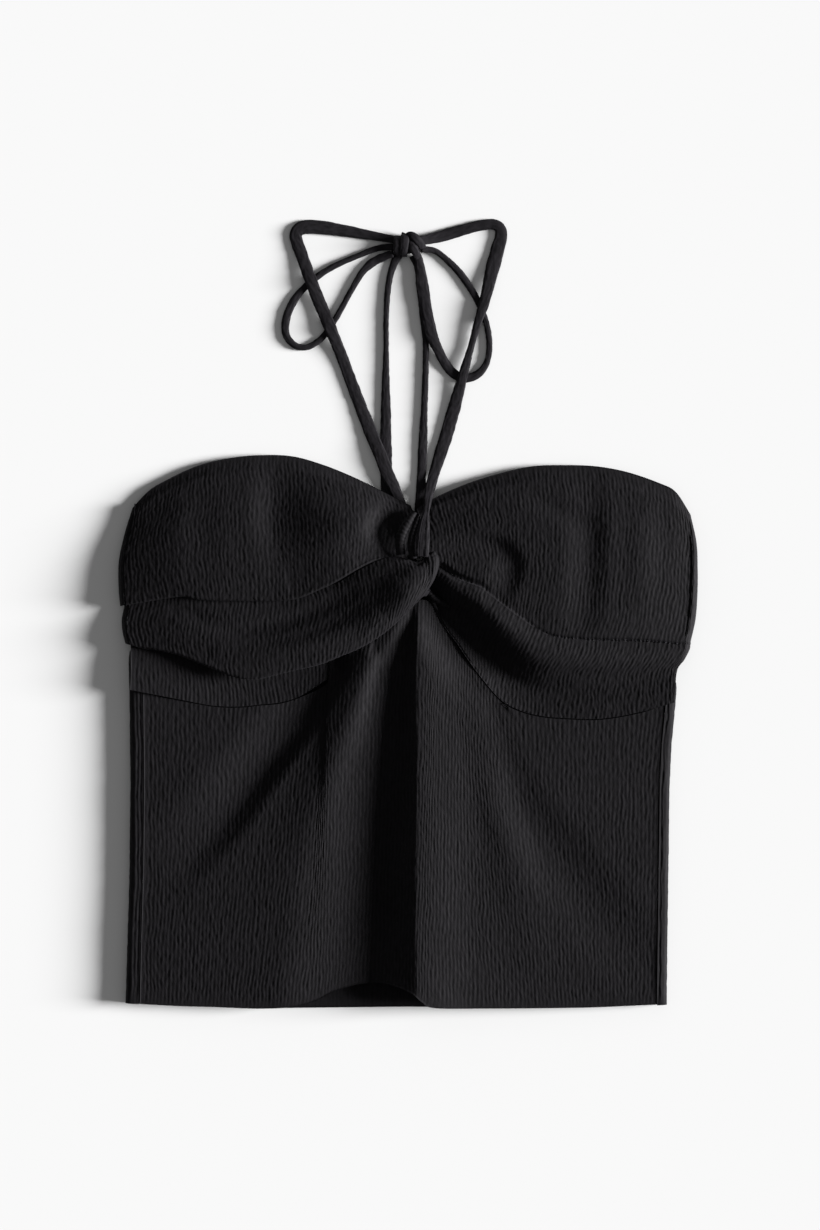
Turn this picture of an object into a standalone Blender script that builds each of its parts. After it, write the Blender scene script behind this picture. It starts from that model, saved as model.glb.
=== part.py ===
"""A twist-front halter top of black crinkle cloth, laid flat on its back panel.

Metres, +Z up. The top lies on the plane z = 0 with its front up: +Y points to the neck and the
ties, and left means the viewer's left, towards -X. Tables are in millimetres, as a maker would
chalk them on the cloth, and MM turns them into metres.

Every stretch of cloth is an open surface with a Solidify wall. Its plan comes from the edges of
the stretch, its height from a small table, and its folds from a table of soft ridges and troughs.
The ties are flat strips swept along routes that lie on the surface.
"""

from collections import namedtuple

import bmesh
import bpy
import numpy as np

MM = 0.001

# Driving dimensions, in millimetres
CLOTH = 1.5  # thickness of the crinkle cloth
SEAM_GAP = 0.3  # clearance between sewn pieces
SIDE_TOP = 8.0  # height of the folded side edge
BUST_SIDE_TOP = 4.2  # how low the folded side is pressed under the bust
PRESS_START = 40.0  # y where the side begins to get lower
PRESS_RUN = 22.0
SIDE_FLOOR = 2.2  # how low the bust's rounded sides come
SIDE_INSET = 5.0  # how far the back's side fold draws in under the bust
INSET_START_LEFT = 50.0  # y where the left fold starts to draw in
INSET_START_RIGHT = 30.0  # y where the right fold starts to draw in
INSET_RUN = 12.0  # length over which a fold draws in
COVER_START = 44.0  # y above which the bust's sides come down past the folds
COVER_RUN = 10.0
BACK_TOP_Y = 105.0  # straight top edge of the back
SEAM_IN_LEFT = 9.0  # side seam, in from the left edge
SEAM_IN_RIGHT = 6.5  # side seam, in from the right edge
PLEAT_STEP = 1.6  # width of the step at the right pleat
DRAPE_COLUMNS = 28
TIE_WIDTH = 7.7
TIE_THICKNESS = 1.6
TIE_THICKENING = 0.35  # how much thicker a tie is where it is turned on its side
TIE_CLEARANCE = 0.03  # between a tie's underside and the surface
TIE_CORNERS = 8  # corners of a tie's section
TIE_SPACING = 7.0  # between the points of a tie's route
KNOT_SIZE = (17.6, 14.0, 7.4)
KNOT_CENTRE = (-0.6, 311.6, 3.9)

CLOTH_BLACK = (0.0135, 0.0125, 0.0145, 1.0)

# Outline of the body below the bust, from the underbust to the hem: x at a height y
BODY_LEFT = (
    (105, -178.6), (43, -179.2), (19, -178.7), (-31, -178.1), (-89, -178.7), (-133, -180.0), (-174, -181.2),
)  # fmt: skip
BODY_RIGHT = ((105, 172.6), (43, 173.0), (19, 171.4), (-8, 168.8), (-35, 167.5), (-101, 166.6), (-175, 165.6))
HEM = (
    (-182, -173.8), (-146, -175.7), (-95, -177.4), (-58, -177.0), (0, -176.4), (60, -177.0), (120, -176.6),
    (166, -174.8),
)  # fmt: skip

# Edges of the bust, x and y
NECK_LEFT = (
    (-176.8, 143.0), (-166.6, 153.9), (-156.3, 160.3), (-135.8, 169.9), (-115.4, 175.0), (-94.9, 177.0),
    (-74.4, 176.3), (-53.9, 170.6), (-33.4, 162.2), (-13.0, 152.0), (1.6, 144.6),
)  # fmt: skip
PLEAT_LEFT = (
    (-184.6, 80.3), (-171.7, 82.2), (-146.1, 86.1), (-133.3, 84.2), (-107.7, 83.5), (-82.1, 83.5),
    (-69.3, 85.4), (-56.5, 90.6), (-46.2, 95.9), (-30.9, 105.6), (-19.0, 110.8), (-6.0, 110.6), (4.6, 107.4),
)  # fmt: skip
DRAPE_TOP = (
    (-181.2, 87.0), (-171.7, 90.0), (-146.1, 94.0), (-133.3, 92.0), (-107.7, 91.5), (-82.1, 91.5),
    (-69.3, 91.6), (-56.5, 93.0), (-46.2, 94.9), (-30.9, 104.5), (-19.0, 110.2), (-9.0, 111.9),
    (-1.0, 110.5), (5.0, 108.6), (10.7, 111.5), (14.0, 115.4), (17.6, 115.8),
)  # fmt: skip
DRAPE_EDGE = (
    (-181.4, 56.6), (-171.0, 54.1), (-158.9, 51.5), (-146.1, 48.3), (-133.3, 43.2), (-120.5, 38.1),
    (-107.7, 33.8), (-94.9, 33.6), (-73.8, 38.7), (-56.5, 42.6), (-43.7, 47.7), (-30.2, 53.4),
    (-17.4, 61.1), (-5.9, 70.7), (1.1, 78.0), (10.1, 86.7),
)  # fmt: skip
BAND_TOP = (
    (-177.6, 60.0), (-158.9, 57.0), (-133.3, 49.0), (-107.7, 40.0), (-94.9, 39.6), (-73.8, 44.5), (-51.0, 49.0),
)  # fmt: skip
SEAM_LEFT = (
    (-177.6, 26.6), (-158.9, 23.0), (-146.1, 20.5), (-125.0, 16.6), (-107.7, 16.0), (-94.9, 17.3),
    (-82.1, 18.6), (-69.3, 22.6), (-52.0, 33.4),
)  # fmt: skip
NECK_RIGHT = (
    (5.4, 142.4), (17.8, 150.1), (38.2, 159.0), (58.7, 165.4), (79.2, 169.9), (99.7, 170.6), (120.2, 169.9),
    (140.6, 166.1), (161.1, 159.0), (171.4, 153.3), (181.0, 138.6),
)  # fmt: skip
PLEAT_RIGHT = (
    (13.0, 107.0), (21.0, 106.0), (33.0, 98.5), (46.0, 94.0), (52.3, 89.3), (71.5, 75.0), (89.5, 63.7),
    (110.0, 60.5), (148.3, 59.2), (173.9, 57.3), (181.0, 57.6),
)  # fmt: skip
SEAM_RIGHT = (
    (15.4, 83.0), (21.5, 69.2), (31.1, 56.2), (37.5, 46.6), (47.1, 33.8), (59.3, 20.0), (71.8, 13.3),
    (84.3, 10.1), (97.1, 8.8), (122.7, 8.2), (148.3, 12.5), (170.0, 18.6),
)  # fmt: skip

# Edges of the front body: its top follows the bust seams up to a peak under the twist, and its
# hem lifts in an arch left of the middle
FRONT_TOP = (
    (-169.2, 25.6), (-158.9, 22.4), (-146.1, 19.9), (-125.0, 16.0), (-107.7, 15.4), (-94.9, 16.7),
    (-82.1, 17.9),
    (-69.3, 21.8), (-54.0, 29.2), (-51.2, 33.8), (-50.8, 42.0), (-49.4, 49.6), (-38.0, 55.6), (-26.0, 61.0),
    (-15.5, 67.6), (-5.9, 75.0), (1.6, 80.6), (8.5, 84.4), (14.4, 81.6),
    (21.0, 68.7), (30.6, 55.7), (37.0, 46.1), (46.6, 33.3), (59.0, 19.4), (71.7, 12.7), (84.3, 9.5),
    (97.1, 8.2), (122.7, 7.6), (148.3, 11.9), (163.8, 17.2),
)  # fmt: skip
FRONT_HEM = (
    (-171.6, -174.2), (-146.1, -175.5), (-125.6, -176.0), (-94.9, -177.0), (-72.0, -175.6), (-57.8, -171.4),
    (-48.8, -166.7), (-41.1, -164.2), (-30.9, -161.6), (-18.1, -160.6), (-7.8, -162.6), (2.4, -166.9),
    (9.0, -172.4), (18.0, -176.2), (58.7, -176.8), (99.7, -176.6), (120.2, -176.2), (158.5, -174.6),
)  # fmt: skip
FRONT_LEFT_EDGE = ((-169.2, 19.0), (-168.7, -31.0), (-169.3, -89.0), (-170.5, -133.0))
FRONT_RIGHT_EDGE = ((161.9, -8.0), (160.5, -35.0), (159.6, -101.0))

# Height of the outer face at five places along a stretch, one row for each share of the way down it
Height = namedtuple("Height", "share first second third fourth fifth")

FRONT_HEIGHTS = (
    Height(0.00, 8.1, 8.2, 12.2, 10.4, 8.1),
    Height(0.10, 8.1, 9.4, 13.6, 10.8, 8.2),
    Height(0.45, 8.0, 10.8, 15.4, 11.2, 8.1),
    Height(0.85, 8.0, 10.8, 15.4, 10.8, 8.0),
    Height(1.00, 8.0, 10.4, 15.4, 10.4, 8.0),
)
UPPER_LEFT_HEIGHTS = (
    Height(0.00, 3.8, 3.4, 3.4, 3.8, 7.0),
    Height(0.10, 5.2, 7.0, 7.2, 8.4, 7.6),
    Height(0.45, 7.4, 12.8, 13.6, 15.8, 9.0),
    Height(0.85, 9.6, 15.2, 16.2, 17.8, 10.8),
    Height(1.00, 10.5, 15.6, 16.8, 18.8, 12.2),
)
DRAPE_HEIGHTS = (
    Height(0.00, 7.0, 11.4, 12.6, 15.4, 17.6),
    Height(0.18, 7.2, 12.2, 13.6, 17.2, 18.8),
    Height(0.48, 8.4, 14.4, 16.6, 18.8, 19.6),
    Height(0.74, 10.2, 16.2, 18.8, 20.8, 19.6),
    Height(1.00, 11.4, 16.2, 16.8, 18.8, 18.2),
)
BAND_HEIGHTS = (
    Height(0.00, 8.0, 8.4, 7.6, 7.6, 8.8),
    Height(0.50, 10.0, 8.8, 7.4, 7.5, 8.4),
    Height(1.00, 10.6, 9.2, 7.8, 7.8, 8.4),
)
UPPER_RIGHT_HEIGHTS = (
    Height(0.00, 6.6, 4.0, 3.4, 3.4, 4.4),
    Height(0.10, 9.0, 8.2, 7.8, 7.6, 7.4),
    Height(0.45, 12.4, 14.6, 16.4, 15.0, 10.6),
    Height(0.85, 15.0, 17.0, 18.2, 16.8, 11.4),
    Height(1.00, 15.4, 17.6, 17.6, 16.2, 11.4),
)
LOWER_RIGHT_HEIGHTS = (
    Height(0.00, 14.6, 17.6, 16.4, 12.8, 10.4),
    Height(0.22, 12.6, 19.2, 18.0, 14.8, 11.0),
    Height(0.36, 8.4, 15.2, 16.6, 13.8, 10.8),
    Height(0.50, 5.8, 7.2, 11.8, 10.6, 10.4),
    Height(0.66, 5.2, 5.2, 6.8, 8.8, 10.2),
    Height(0.84, 6.0, 6.2, 6.8, 8.8, 10.1),
    Height(1.00, 7.2, 7.8, 8.0, 8.8, 10.1),
)

# Soft ridges (lift above zero) and troughs (below zero): the route, the lift at its start, middle and
# end, and how far the fold reaches to its left and right at the start and at the end
Fold = namedtuple("Fold", "route lift left right")

FRONT_FOLDS = (
    Fold(((-46, 42), (-64, 12), (-91, -22), (-118, -58), (-154, -96)), (-3.0, -3.9, -0.4), (28, 38), (12, 18)),
    Fold(((-26, 46), (-38, 4), (-58, -45), (-84, -100)), (2.2, 1.0, 0.2), (16, 26), (10, 22)),
    Fold(((52, -5), (66, -38), (92, -76), (124, -118), (152, -150)), (-0.6, -2.0, -0.6), (20, 32), (20, 32)),
    Fold(((36, 30), (52, -20), (66, -80), (80, -140)), (0.3, 1.2, 0.3), (14, 22), (14, 22)),
    Fold(((14, 86), (24, 64), (36, 47), (53, 27)), (-3.6, -6.0, -1.4), (20, 26), (12, 12)),
)

# The groove down the middle: at each height its lowest line, the sharp crest on its right, how far the
# crest stands up, how far the lowest line sinks, and how far to the left the cloth takes to come up again
Groove = namedtuple("Groove", "y bottom crest rise depth ease")
GROOVE = (
    Groove(84, 4.0, 7.0, 0.2, 0.4, 5), Groove(60, -1.0, 5.6, 1.6, 3.4, 12),
    Groove(39, -4.6, 5.0, 2.4, 5.0, 24),
    Groove(14, -6.0, 5.0, 2.6, 6.2, 34), Groove(-18, -10.0, 5.4, 2.6, 7.6, 44),
    Groove(-57, -14.0, 5.2, 2.6, 8.8, 52),
    Groove(-108, -20.6, 4.4, 2.8, 8.8, 58), Groove(-156, -25.0, 5.0, 3.2, 8.2, 60),
    Groove(-178, -27.0, 5.0, 3.4, 8.0, 60),
)  # fmt: skip
CREST_RUN = 40.0  # how far to the right the crest takes to level out
UPPER_LEFT_FOLDS = (
    Fold(((-84, 168), (-85, 138), (-80, 110)), (-0.8, -3.0, -0.8), (18, 20), (34, 36)),
    Fold(((-32, 146), (-34, 130), (-34, 118)), (0.4, 1.4, 0.2), (26, 28), (12, 12)),
    Fold(((-12, 144), (-15, 130), (-16, 119)), (-1.2, -3.8, -0.8), (14, 14), (13, 13)),
    Fold(((-128, 160), (-132, 130), (-130, 102)), (0.0, -0.7, -0.2), (16, 18), (16, 18)),
)
DRAPE_FOLDS = (
    Fold(((-150, 78), (-112, 66), (-72, 72), (-36, 88)), (-0.4, -1.5, -0.6), (8, 8), (8, 8)),
    Fold(((-120, 52), (-86, 52), (-50, 62), (-14, 82)), (0.4, 1.0, 0.4), (9, 9), (8, 8)),
    Fold(((0, 109), (3, 98), (-3, 86), (-14, 74)), (0.6, 4.4, 1.6), (22, 26), (16, 16)),
)
RIGHT_FOLDS = (
    Fold(((24, 119), (42, 120), (58, 117), (66, 107), (63, 96), (57, 86)), (-0.6, -2.4, -0.6), (14, 18),
    (9, 11)),
    Fold(((116, 160), (115, 130), (114, 98), (112, 74)), (-0.5, -2.1, -1.0), (18, 18), (15, 16)),
    Fold(((70, 152), (96, 142), (118, 128)), (-0.2, -1.2, -0.4), (10, 12), (10, 12)),
    Fold(((21, 105.6), (33, 98), (46, 93.4), (54, 87.4)), (-1.6, -1.6, -0.2), (3.5, 3.5), (3.5, 3.5)),
    Fold(((152, 150), (150, 120), (148, 84)), (0.2, 0.8, 0.4), (14, 14), (14, 14)),
)

# The hook: the right panel's own roll, which comes out behind the strap and ends at the drape's top edge
Roll = namedtuple("Roll", "x y crest half_width")
HOOK = (
    Roll(4.2, 140.6, 13.4, 1.9), Roll(0.2, 134.6, 16.0, 2.7), Roll(-3.8, 127.4, 17.8, 3.1),
    Roll(-5.4, 121.2, 18.2, 3.1),
    Roll(-4.7, 113.0, 17.9, 3.0),
)  # fmt: skip
HOOK_DEPTH = 2.8

# Routes of the ties: x, y, height of the middle and share of the full width
Stop = namedtuple("Stop", "x y z width")
STRAP_LEFT = (
    Stop(-8.7, 315.0, 3.4, 0.6), Stop(-18.0, 316.9, 1.5, 0.64), Stop(-33.4, 319.6, 0.9, 0.82),
    Stop(-50.0, 322.4, 0.9, 0.97),
    Stop(-61.7, 323.5, 0.95, 1.08), Stop(-68.8, 322.6, 1.1, 1.05), Stop(-71.9, 319.2, 1.2, 1),
    Stop(-71.2, 313.4, 1.1, 1),
    Stop(-65.6, 297.8, 2.1, 1), Stop(-61.7, 286.8, 3.3, 1), Stop(-57.8, 277.0, 2.2, 1),
    Stop(-54.1, 268.4, 2.3, 1),
    Stop(-49.6, 257.4, 3.3, 1), Stop(-45.3, 247.0, 2.0, 0.97), Stop(-39.6, 232.2, 0.9, 0.95),
    Stop(-31.9, 211.6, 0.9, 0.95),
    Stop(-24.2, 192.0, 1.6, 1), Stop(-18.0, 177.2, 2.9, 1), Stop(-13.6, 165.8, 2.95, 1),
    Stop(-9.8, 158.0, 2.8, 0.9),
    Stop(-6.4, 150.5, 2.8, 0.8), Stop(-3.4, 143.0, 3.6, 0.7),
)  # fmt: skip
STRAP_RIGHT = (
    Stop(7.8, 314.4, 3.4, 0.7), Stop(17.8, 316.5, 1.5, 0.85), Stop(28.0, 319.4, 0.9, 0.94),
    Stop(42.2, 323.4, 0.9, 0.87),
    Stop(53.0, 325.2, 0.95, 0.85), Stop(58.6, 322.8, 1.2, 0.9), Stop(59.2, 316.6, 1.0, 1),
    Stop(57.4, 309.4, 0.9, 1.1),
    Stop(54.0, 297.0, 1.5, 1.1), Stop(51.2, 285.0, 2.6, 0.96), Stop(48.2, 273.4, 3.0, 0.8),
    Stop(43.9, 260.0, 2.8, 0.58),
    Stop(40.1, 246.0, 2.4, 0.5), Stop(35.4, 229.6, 3.0, 0.75), Stop(32.0, 217.0, 1.8, 0.94),
    Stop(25.0, 192.0, 1.0, 1.08),
    Stop(17.2, 167.4, 1.8, 0.9), Stop(14.1, 156.4, 3.9, 0.8), Stop(12.8, 150.6, 6.6, 0.66),
    Stop(12.0, 145.0, 9.3, 0.52),
    Stop(11.2, 139.4, 11.8, 0.5), Stop(10.1, 132.4, 14.6, 0.85), Stop(9.2, 125.0, 17.6, 1.08),
    Stop(8.6, 117.4, 19.8, 1.15),
    Stop(8.4, 112.0, 20.4, 1.05),
)  # fmt: skip
LOOP_LEFT = (
    Stop(-9.1, 310.4, 2.8, 0.5), Stop(-19.0, 309.8, 1.2, 0.44), Stop(-32.0, 305.1, 0.9, 0.4),
    Stop(-48.0, 298.0, 0.9, 0.42),
    Stop(-58.5, 291.4, 0.9, 0.44), Stop(-66.0, 284.9, 0.9, 0.48), Stop(-73.0, 276.8, 0.9, 0.58),
    Stop(-78.0, 265.6, 0.9, 0.64),
    Stop(-78.6, 255.6, 0.9, 0.6), Stop(-74.6, 248.8, 0.9, 0.52), Stop(-67.4, 246.0, 0.9, 0.46),
    Stop(-60.3, 248.4, 0.9, 0.46),
    Stop(-54.0, 253.8, 0.9, 0.46), Stop(-47.3, 263.4, 0.9, 0.46), Stop(-41.0, 274.6, 0.9, 0.42),
    Stop(-34.6, 286.2, 0.9, 0.44),
    Stop(-28.6, 295.4, 0.9, 0.52), Stop(-21.6, 301.4, 1.0, 0.64), Stop(-13.4, 305.0, 2.4, 0.58),
    Stop(-9.8, 306.0, 3.2, 0.5),
)  # fmt: skip
LOOP_RIGHT = (
    Stop(8.3, 308.8, 2.6, 0.5), Stop(17.0, 308.0, 1.3, 0.45), Stop(26.8, 300.4, 0.9, 0.5),
    Stop(35.6, 290.4, 0.9, 0.54),
    Stop(44.8, 275.4, 0.9, 0.5), Stop(50.0, 261.5, 0.9, 0.46), Stop(52.0, 248.0, 0.9, 0.47),
    Stop(50.4, 236.8, 0.9, 0.48),
    Stop(45.4, 229.8, 0.9, 0.62), Stop(38.6, 226.6, 0.9, 0.7), Stop(31.6, 227.8, 0.9, 0.74),
    Stop(25.4, 233.4, 1.2, 0.75),
    Stop(19.3, 244.0, 2.2, 0.78), Stop(14.4, 256.0, 2.8, 0.95), Stop(11.6, 270.0, 2.8, 0.9),
    Stop(9.2, 284.0, 2.8, 1.05),
    Stop(8.0, 294.0, 2.8, 0.85), Stop(7.0, 301.0, 3.3, 0.64), Stop(6.4, 303.8, 3.7, 0.56),
)  # fmt: skip
TAIL_LEFT = (
    Stop(-5.4, 306.0, 1.8, 0.6), Stop(-8.4, 301.6, 1.1, 0.62), Stop(-11.6, 292.2, 0.9, 0.48),
    Stop(-13.5, 279.0, 0.9, 0.42),
    Stop(-14.2, 262.0, 0.9, 0.4), Stop(-14.2, 244.0, 0.9, 0.42), Stop(-14.4, 226.0, 0.9, 0.56),
    Stop(-14.4, 208.0, 0.9, 0.76),
    Stop(-14.4, 190.0, 0.9, 0.87), Stop(-14.2, 168.0, 0.9, 0.92), Stop(-13.6, 148.0, 0.9, 0.85),
    Stop(-13.0, 130.0, 0.9, 0.8),
    Stop(-12.6, 113.0, 0.9, 0.8),
)  # fmt: skip
TAIL_RIGHT = (
    Stop(3.0, 305.0, 1.6, 0.6), Stop(6.2, 298.0, 0.9, 0.62), Stop(7.6, 286.0, 0.9, 0.52),
    Stop(9.3, 268.0, 0.9, 0.5),
    Stop(11.2, 248.0, 0.9, 0.45), Stop(11.0, 228.0, 0.9, 0.45), Stop(10.1, 205.0, 0.9, 0.53),
    Stop(9.2, 180.0, 0.9, 0.7),
    Stop(8.2, 158.0, 0.9, 0.74), Stop(7.2, 140.0, 0.9, 0.8), Stop(6.4, 113.0, 0.9, 0.8),
)  # fmt: skip


def clear_scene():
    for scene_object in list(bpy.data.objects):
        bpy.data.objects.remove(scene_object, do_unlink=True)


def collection(name):
    made = bpy.data.collections.new(name)
    bpy.context.scene.collection.children.link(made)
    return made


def cloth_material(name, colour=CLOTH_BLACK, roughness=0.85):
    material = bpy.data.materials.new(name)
    material.use_nodes = True
    shader = material.node_tree.nodes["Principled BSDF"]
    shader.inputs["Base Color"].default_value = colour
    shader.inputs["Roughness"].default_value = roughness
    shader.inputs["Metallic"].default_value = 0.0
    return material


def spline(points, places):
    """Catmull-Rom curve through the points, read at the given places from 0 to 1 by point number."""
    p = np.array(points, float)
    p = np.vstack([2 * p[0] - p[1], p, 2 * p[-1] - p[-2]])
    spans = len(p) - 3
    place = np.clip(np.asarray(places, float), 0, 1) * spans
    k = np.minimum(place.astype(int), spans - 1)
    t = (place - k)[:, None]
    a, b, c, d = p[k], p[k + 1], p[k + 2], p[k + 3]
    return 0.5 * (2 * b + (c - a) * t + (2 * a - 5 * b + 4 * c - d) * t**2 + (3 * b - a - 3 * c + d) * t**3)


def even_line(points, shares):
    """The smooth curve through the points, at the given shares of its length."""
    fine = spline(points, np.linspace(0, 1, 20 * len(points)))
    steps = np.linalg.norm(np.diff(fine[:, :2], axis=0), axis=1)
    along = np.concatenate([[0], np.cumsum(steps)])
    even = shares * along[-1]
    return np.column_stack([np.interp(even, along, fine[:, k]) for k in range(fine.shape[1])])


def plan(top, bottom, left, right, shares, rows):
    """Coons patch between four edges: x and y of a stretch, at shares of the way along it and rows down it."""
    across = shares[:, None, None]
    down = np.linspace(0, 1, rows + 1)[None, :, None]
    upper = even_line(top, shares)[:, None, :]
    lower = even_line(bottom, shares)[:, None, :]
    first = even_line((top[0], *left, bottom[0]), down.ravel())[None, :, :]
    last = even_line((top[-1], *right, bottom[-1]), down.ravel())[None, :, :]
    ruled = (1 - down) * upper + down * lower + (1 - across) * first + across * last
    near = (1 - down) * upper[:1] + down * lower[:1]
    far = (1 - down) * upper[-1:] + down * lower[-1:]
    return ruled - (1 - across) * near - across * far


def heights(table, along, rows):
    """Smooth heights over a stretch, from a table of heights at shares of the way down it."""
    values = np.array([row[1:] for row in table])
    row_shares = np.array([row.share for row in table])
    places = np.interp(np.linspace(0, 1, rows + 1), row_shares, np.linspace(0, 1, len(row_shares)))
    down = spline(values, places)
    return spline(down.T, along)


def fold_lift(xy, fold):
    """How far one fold lifts or lowers each point of a stretch."""
    route = even_line(fold.route, np.linspace(0, 1, 60))
    away = xy[..., None, :] - route
    nearest = np.argmin((away**2).sum(-1), axis=-1)
    along = nearest / (len(route) - 1)
    offset = np.take_along_axis(away, nearest[..., None, None], axis=-2)[..., 0, :]
    run = np.gradient(route, axis=0)[nearest]
    side = np.sign(run[..., 0] * offset[..., 1] - run[..., 1] * offset[..., 0])
    left = fold.left[0] + (fold.left[1] - fold.left[0]) * along
    right = fold.right[0] + (fold.right[1] - fold.right[0]) * along
    reach = np.where(side > 0, right, left)
    share = np.clip(np.linalg.norm(offset, axis=-1) / reach, 0, 1)
    lift = spline(np.array(fold.lift)[:, None], along.ravel())[:, 0].reshape(along.shape)
    return lift * (1 + np.cos(np.pi * share)) / 2


def stretch(edges, table, folds, shares, rows):
    """Grid of points, in millimetres, for one stretch of cloth. Shares is a number of columns, or
    their places."""
    if isinstance(shares, int):
        shares = np.linspace(0, 1, shares + 1)
    xy = plan(*edges, shares, rows)
    z = heights(table, shares, rows)
    for fold in folds:
        z = z + fold_lift(xy, fold)
    return np.concatenate([xy, z[..., None]], axis=-1)


def grooved(grid):
    """The front's grid with the groove down its middle."""
    upwards = np.array(GROOVE[::-1])
    x, y = grid[..., 0], grid[..., 1]
    bottom, crest, rise, depth, ease = (np.interp(y, upwards[:, 0], upwards[:, k]) for k in range(1, 6))
    up_the_face = np.clip((x - bottom) / (crest - bottom), 0, 1)
    back_up = (1 + np.cos(np.pi * np.clip((bottom - x) / ease, 0, 1))) / 2
    level_out = (1 + np.cos(np.pi * np.clip((x - crest) / CREST_RUN, 0, 1))) / 2
    grid = grid.copy()
    grid[..., 2] += rise * up_the_face * level_out - depth * np.where(x > bottom, 1 - up_the_face, back_up)
    return grid


def turned(grid, side, radius, degrees, tuck=0.0, steps=3):
    """The grid with its edge turned down: an arc, then a straight tuck along the arc's end."""
    rows_last = {"bottom": (1, False), "top": (1, True), "right": (0, False), "left": (0, True)}
    axis, start = rows_last[side]
    lines = np.moveaxis(grid, axis, 0)
    if start:
        lines = lines[::-1]
    outward = lines[-1] - lines[-2]
    outward[..., 2] = 0
    outward /= np.linalg.norm(outward, axis=-1, keepdims=True)
    radius = np.broadcast_to(np.asarray(radius, float), lines.shape[1:2])[:, None]
    angle = np.broadcast_to(np.radians(degrees), lines.shape[1:2])[:, None]
    tuck = np.broadcast_to(np.asarray(tuck, float), lines.shape[1:2])[:, None]
    up = np.array([0.0, 0.0, 1.0])
    # The arc's outermost line stays on the drawn edge, so the edge itself first draws in by the radius.
    inset = radius * np.sin(np.minimum(angle, np.pi / 2))
    lines = lines.copy()
    lines[-1] = lines[-1] - outward * inset
    extra = []
    for step in range(1, steps + 1):
        a = angle * step / steps
        extra.append(lines[-1] + outward * radius * np.sin(a) - up * radius * (1 - np.cos(a)))
    if tuck.max() > 0:
        extra.append(extra[-1] + tuck * (outward * np.cos(angle) - up * np.sin(angle)))
    lines = np.concatenate([lines, np.array(extra)])
    if start:
        lines = lines[::-1]
    return np.moveaxis(lines, 0, axis)


def side_turned(grid, side, reach, steps=3):
    """The grid with its side edge rounded down to just above what it lies on: the surface, or the
    folded side of the back below the bust."""
    lines = grid if side == "right" else grid[::-1]
    outward = lines[-1] - lines[-2]
    outward[..., 2] = 0
    outward /= np.linalg.norm(outward, axis=-1, keepdims=True)
    lines = lines.copy()
    lines[-1] = lines[-1] - outward * reach
    over_fold = SIDE_TOP + CLOTH + SEAM_GAP
    clear_of_fold = np.clip((lines[-1][:, 1] - COVER_START) / COVER_RUN, 0, 1)
    floor = over_fold + (SIDE_FLOOR - over_fold) * clear_of_fold
    drop = np.maximum(lines[-1][:, 2] - floor, 0.1)[:, None] * np.array([0.0, 0.0, 1.0])
    extra = []
    for step in range(1, steps + 1):
        a = 0.5 * np.pi * step / steps
        extra.append(lines[-1] + outward * reach * np.sin(a) - drop * (1 - np.cos(a)))
    lines = np.concatenate([lines, np.array(extra)])
    return lines if side == "right" else lines[::-1]


def grid_object(name, grid, home, material, thickness=CLOTH):
    """An object whose mesh is the open grid, with a Solidify wall below its outer face."""
    columns, rows = grid.shape[:2]
    points = (grid.reshape(-1, 3) * MM).tolist()
    faces = []
    for i in range(columns - 1):
        for j in range(rows - 1):
            k = i * rows + j
            faces.append((k, k + 1, k + rows + 1, k + rows))
    mesh = bpy.data.meshes.new(name)
    mesh.from_pydata(points, [], faces)
    mesh.update()
    mesh.materials.append(material)
    made = bpy.data.objects.new(name, mesh)
    home.objects.link(made)
    wall = made.modifiers.new("Wall", "SOLIDIFY")
    wall.thickness = thickness * MM
    wall.offset = -1.0
    made.data.shade_smooth()
    return made


def body_edge(table, y):
    """x of the body's side at a height y."""
    upwards = table[::-1]
    return np.interp(y, [row[0] for row in upwards], [row[1] for row in upwards])


def side_height(y):
    """Height of the folded side at a height y: it is pressed lower under the bust."""
    return SIDE_TOP + (BUST_SIDE_TOP - SIDE_TOP) * np.clip((y - PRESS_START) / PRESS_RUN, 0, 1)


def back_body(home, material):
    """The back, flat on the surface, with both sides folded up over to the side seams."""
    rows = 14
    flat_columns = 6
    turn_steps = 4
    side_hem = HEM[0][1]
    sections = []
    for share in np.linspace(0, 1, rows + 1):
        y = BACK_TOP_Y + share * (side_hem - BACK_TOP_Y)
        side_top = side_height(y)
        radius = side_top / 2
        x_left = body_edge(BODY_LEFT, y) + SIDE_INSET * np.clip((y - INSET_START_LEFT) / INSET_RUN, 0, 1)
        x_right = body_edge(BODY_RIGHT, y) - SIDE_INSET * np.clip((y - INSET_START_RIGHT) / INSET_RUN, 0, 1)
        turn = np.pi * np.arange(turn_steps + 1) / turn_steps
        left_turn = [(x_left + radius * (1 - np.sin(a)), radius * (1 + np.cos(a))) for a in turn]
        right_turn = [(x_right - radius * (1 - np.sin(a)), radius * (1 + np.cos(a))) for a in turn[::-1]]
        between = np.linspace(x_left + radius, x_right - radius, flat_columns + 1)[1:-1]
        section = [(x_left + SEAM_IN_LEFT, side_top), *left_turn, *((x, 0.0) for x in between)]
        section += [*right_turn, (x_right - SEAM_IN_RIGHT, side_top)]
        # The hem line dips a little between the sides, more towards the hem.
        dip = np.interp([x for x, _ in section], [x for x, _ in HEM], [hem_y - side_hem for _, hem_y in HEM])
        sections.append([(x, y + share * drop, z) for (x, z), drop in zip(section, dip)])
    grid = np.swapaxes(np.array(sections), 0, 1)
    return grid_object("back_body", grid[::-1], home, material)


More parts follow.
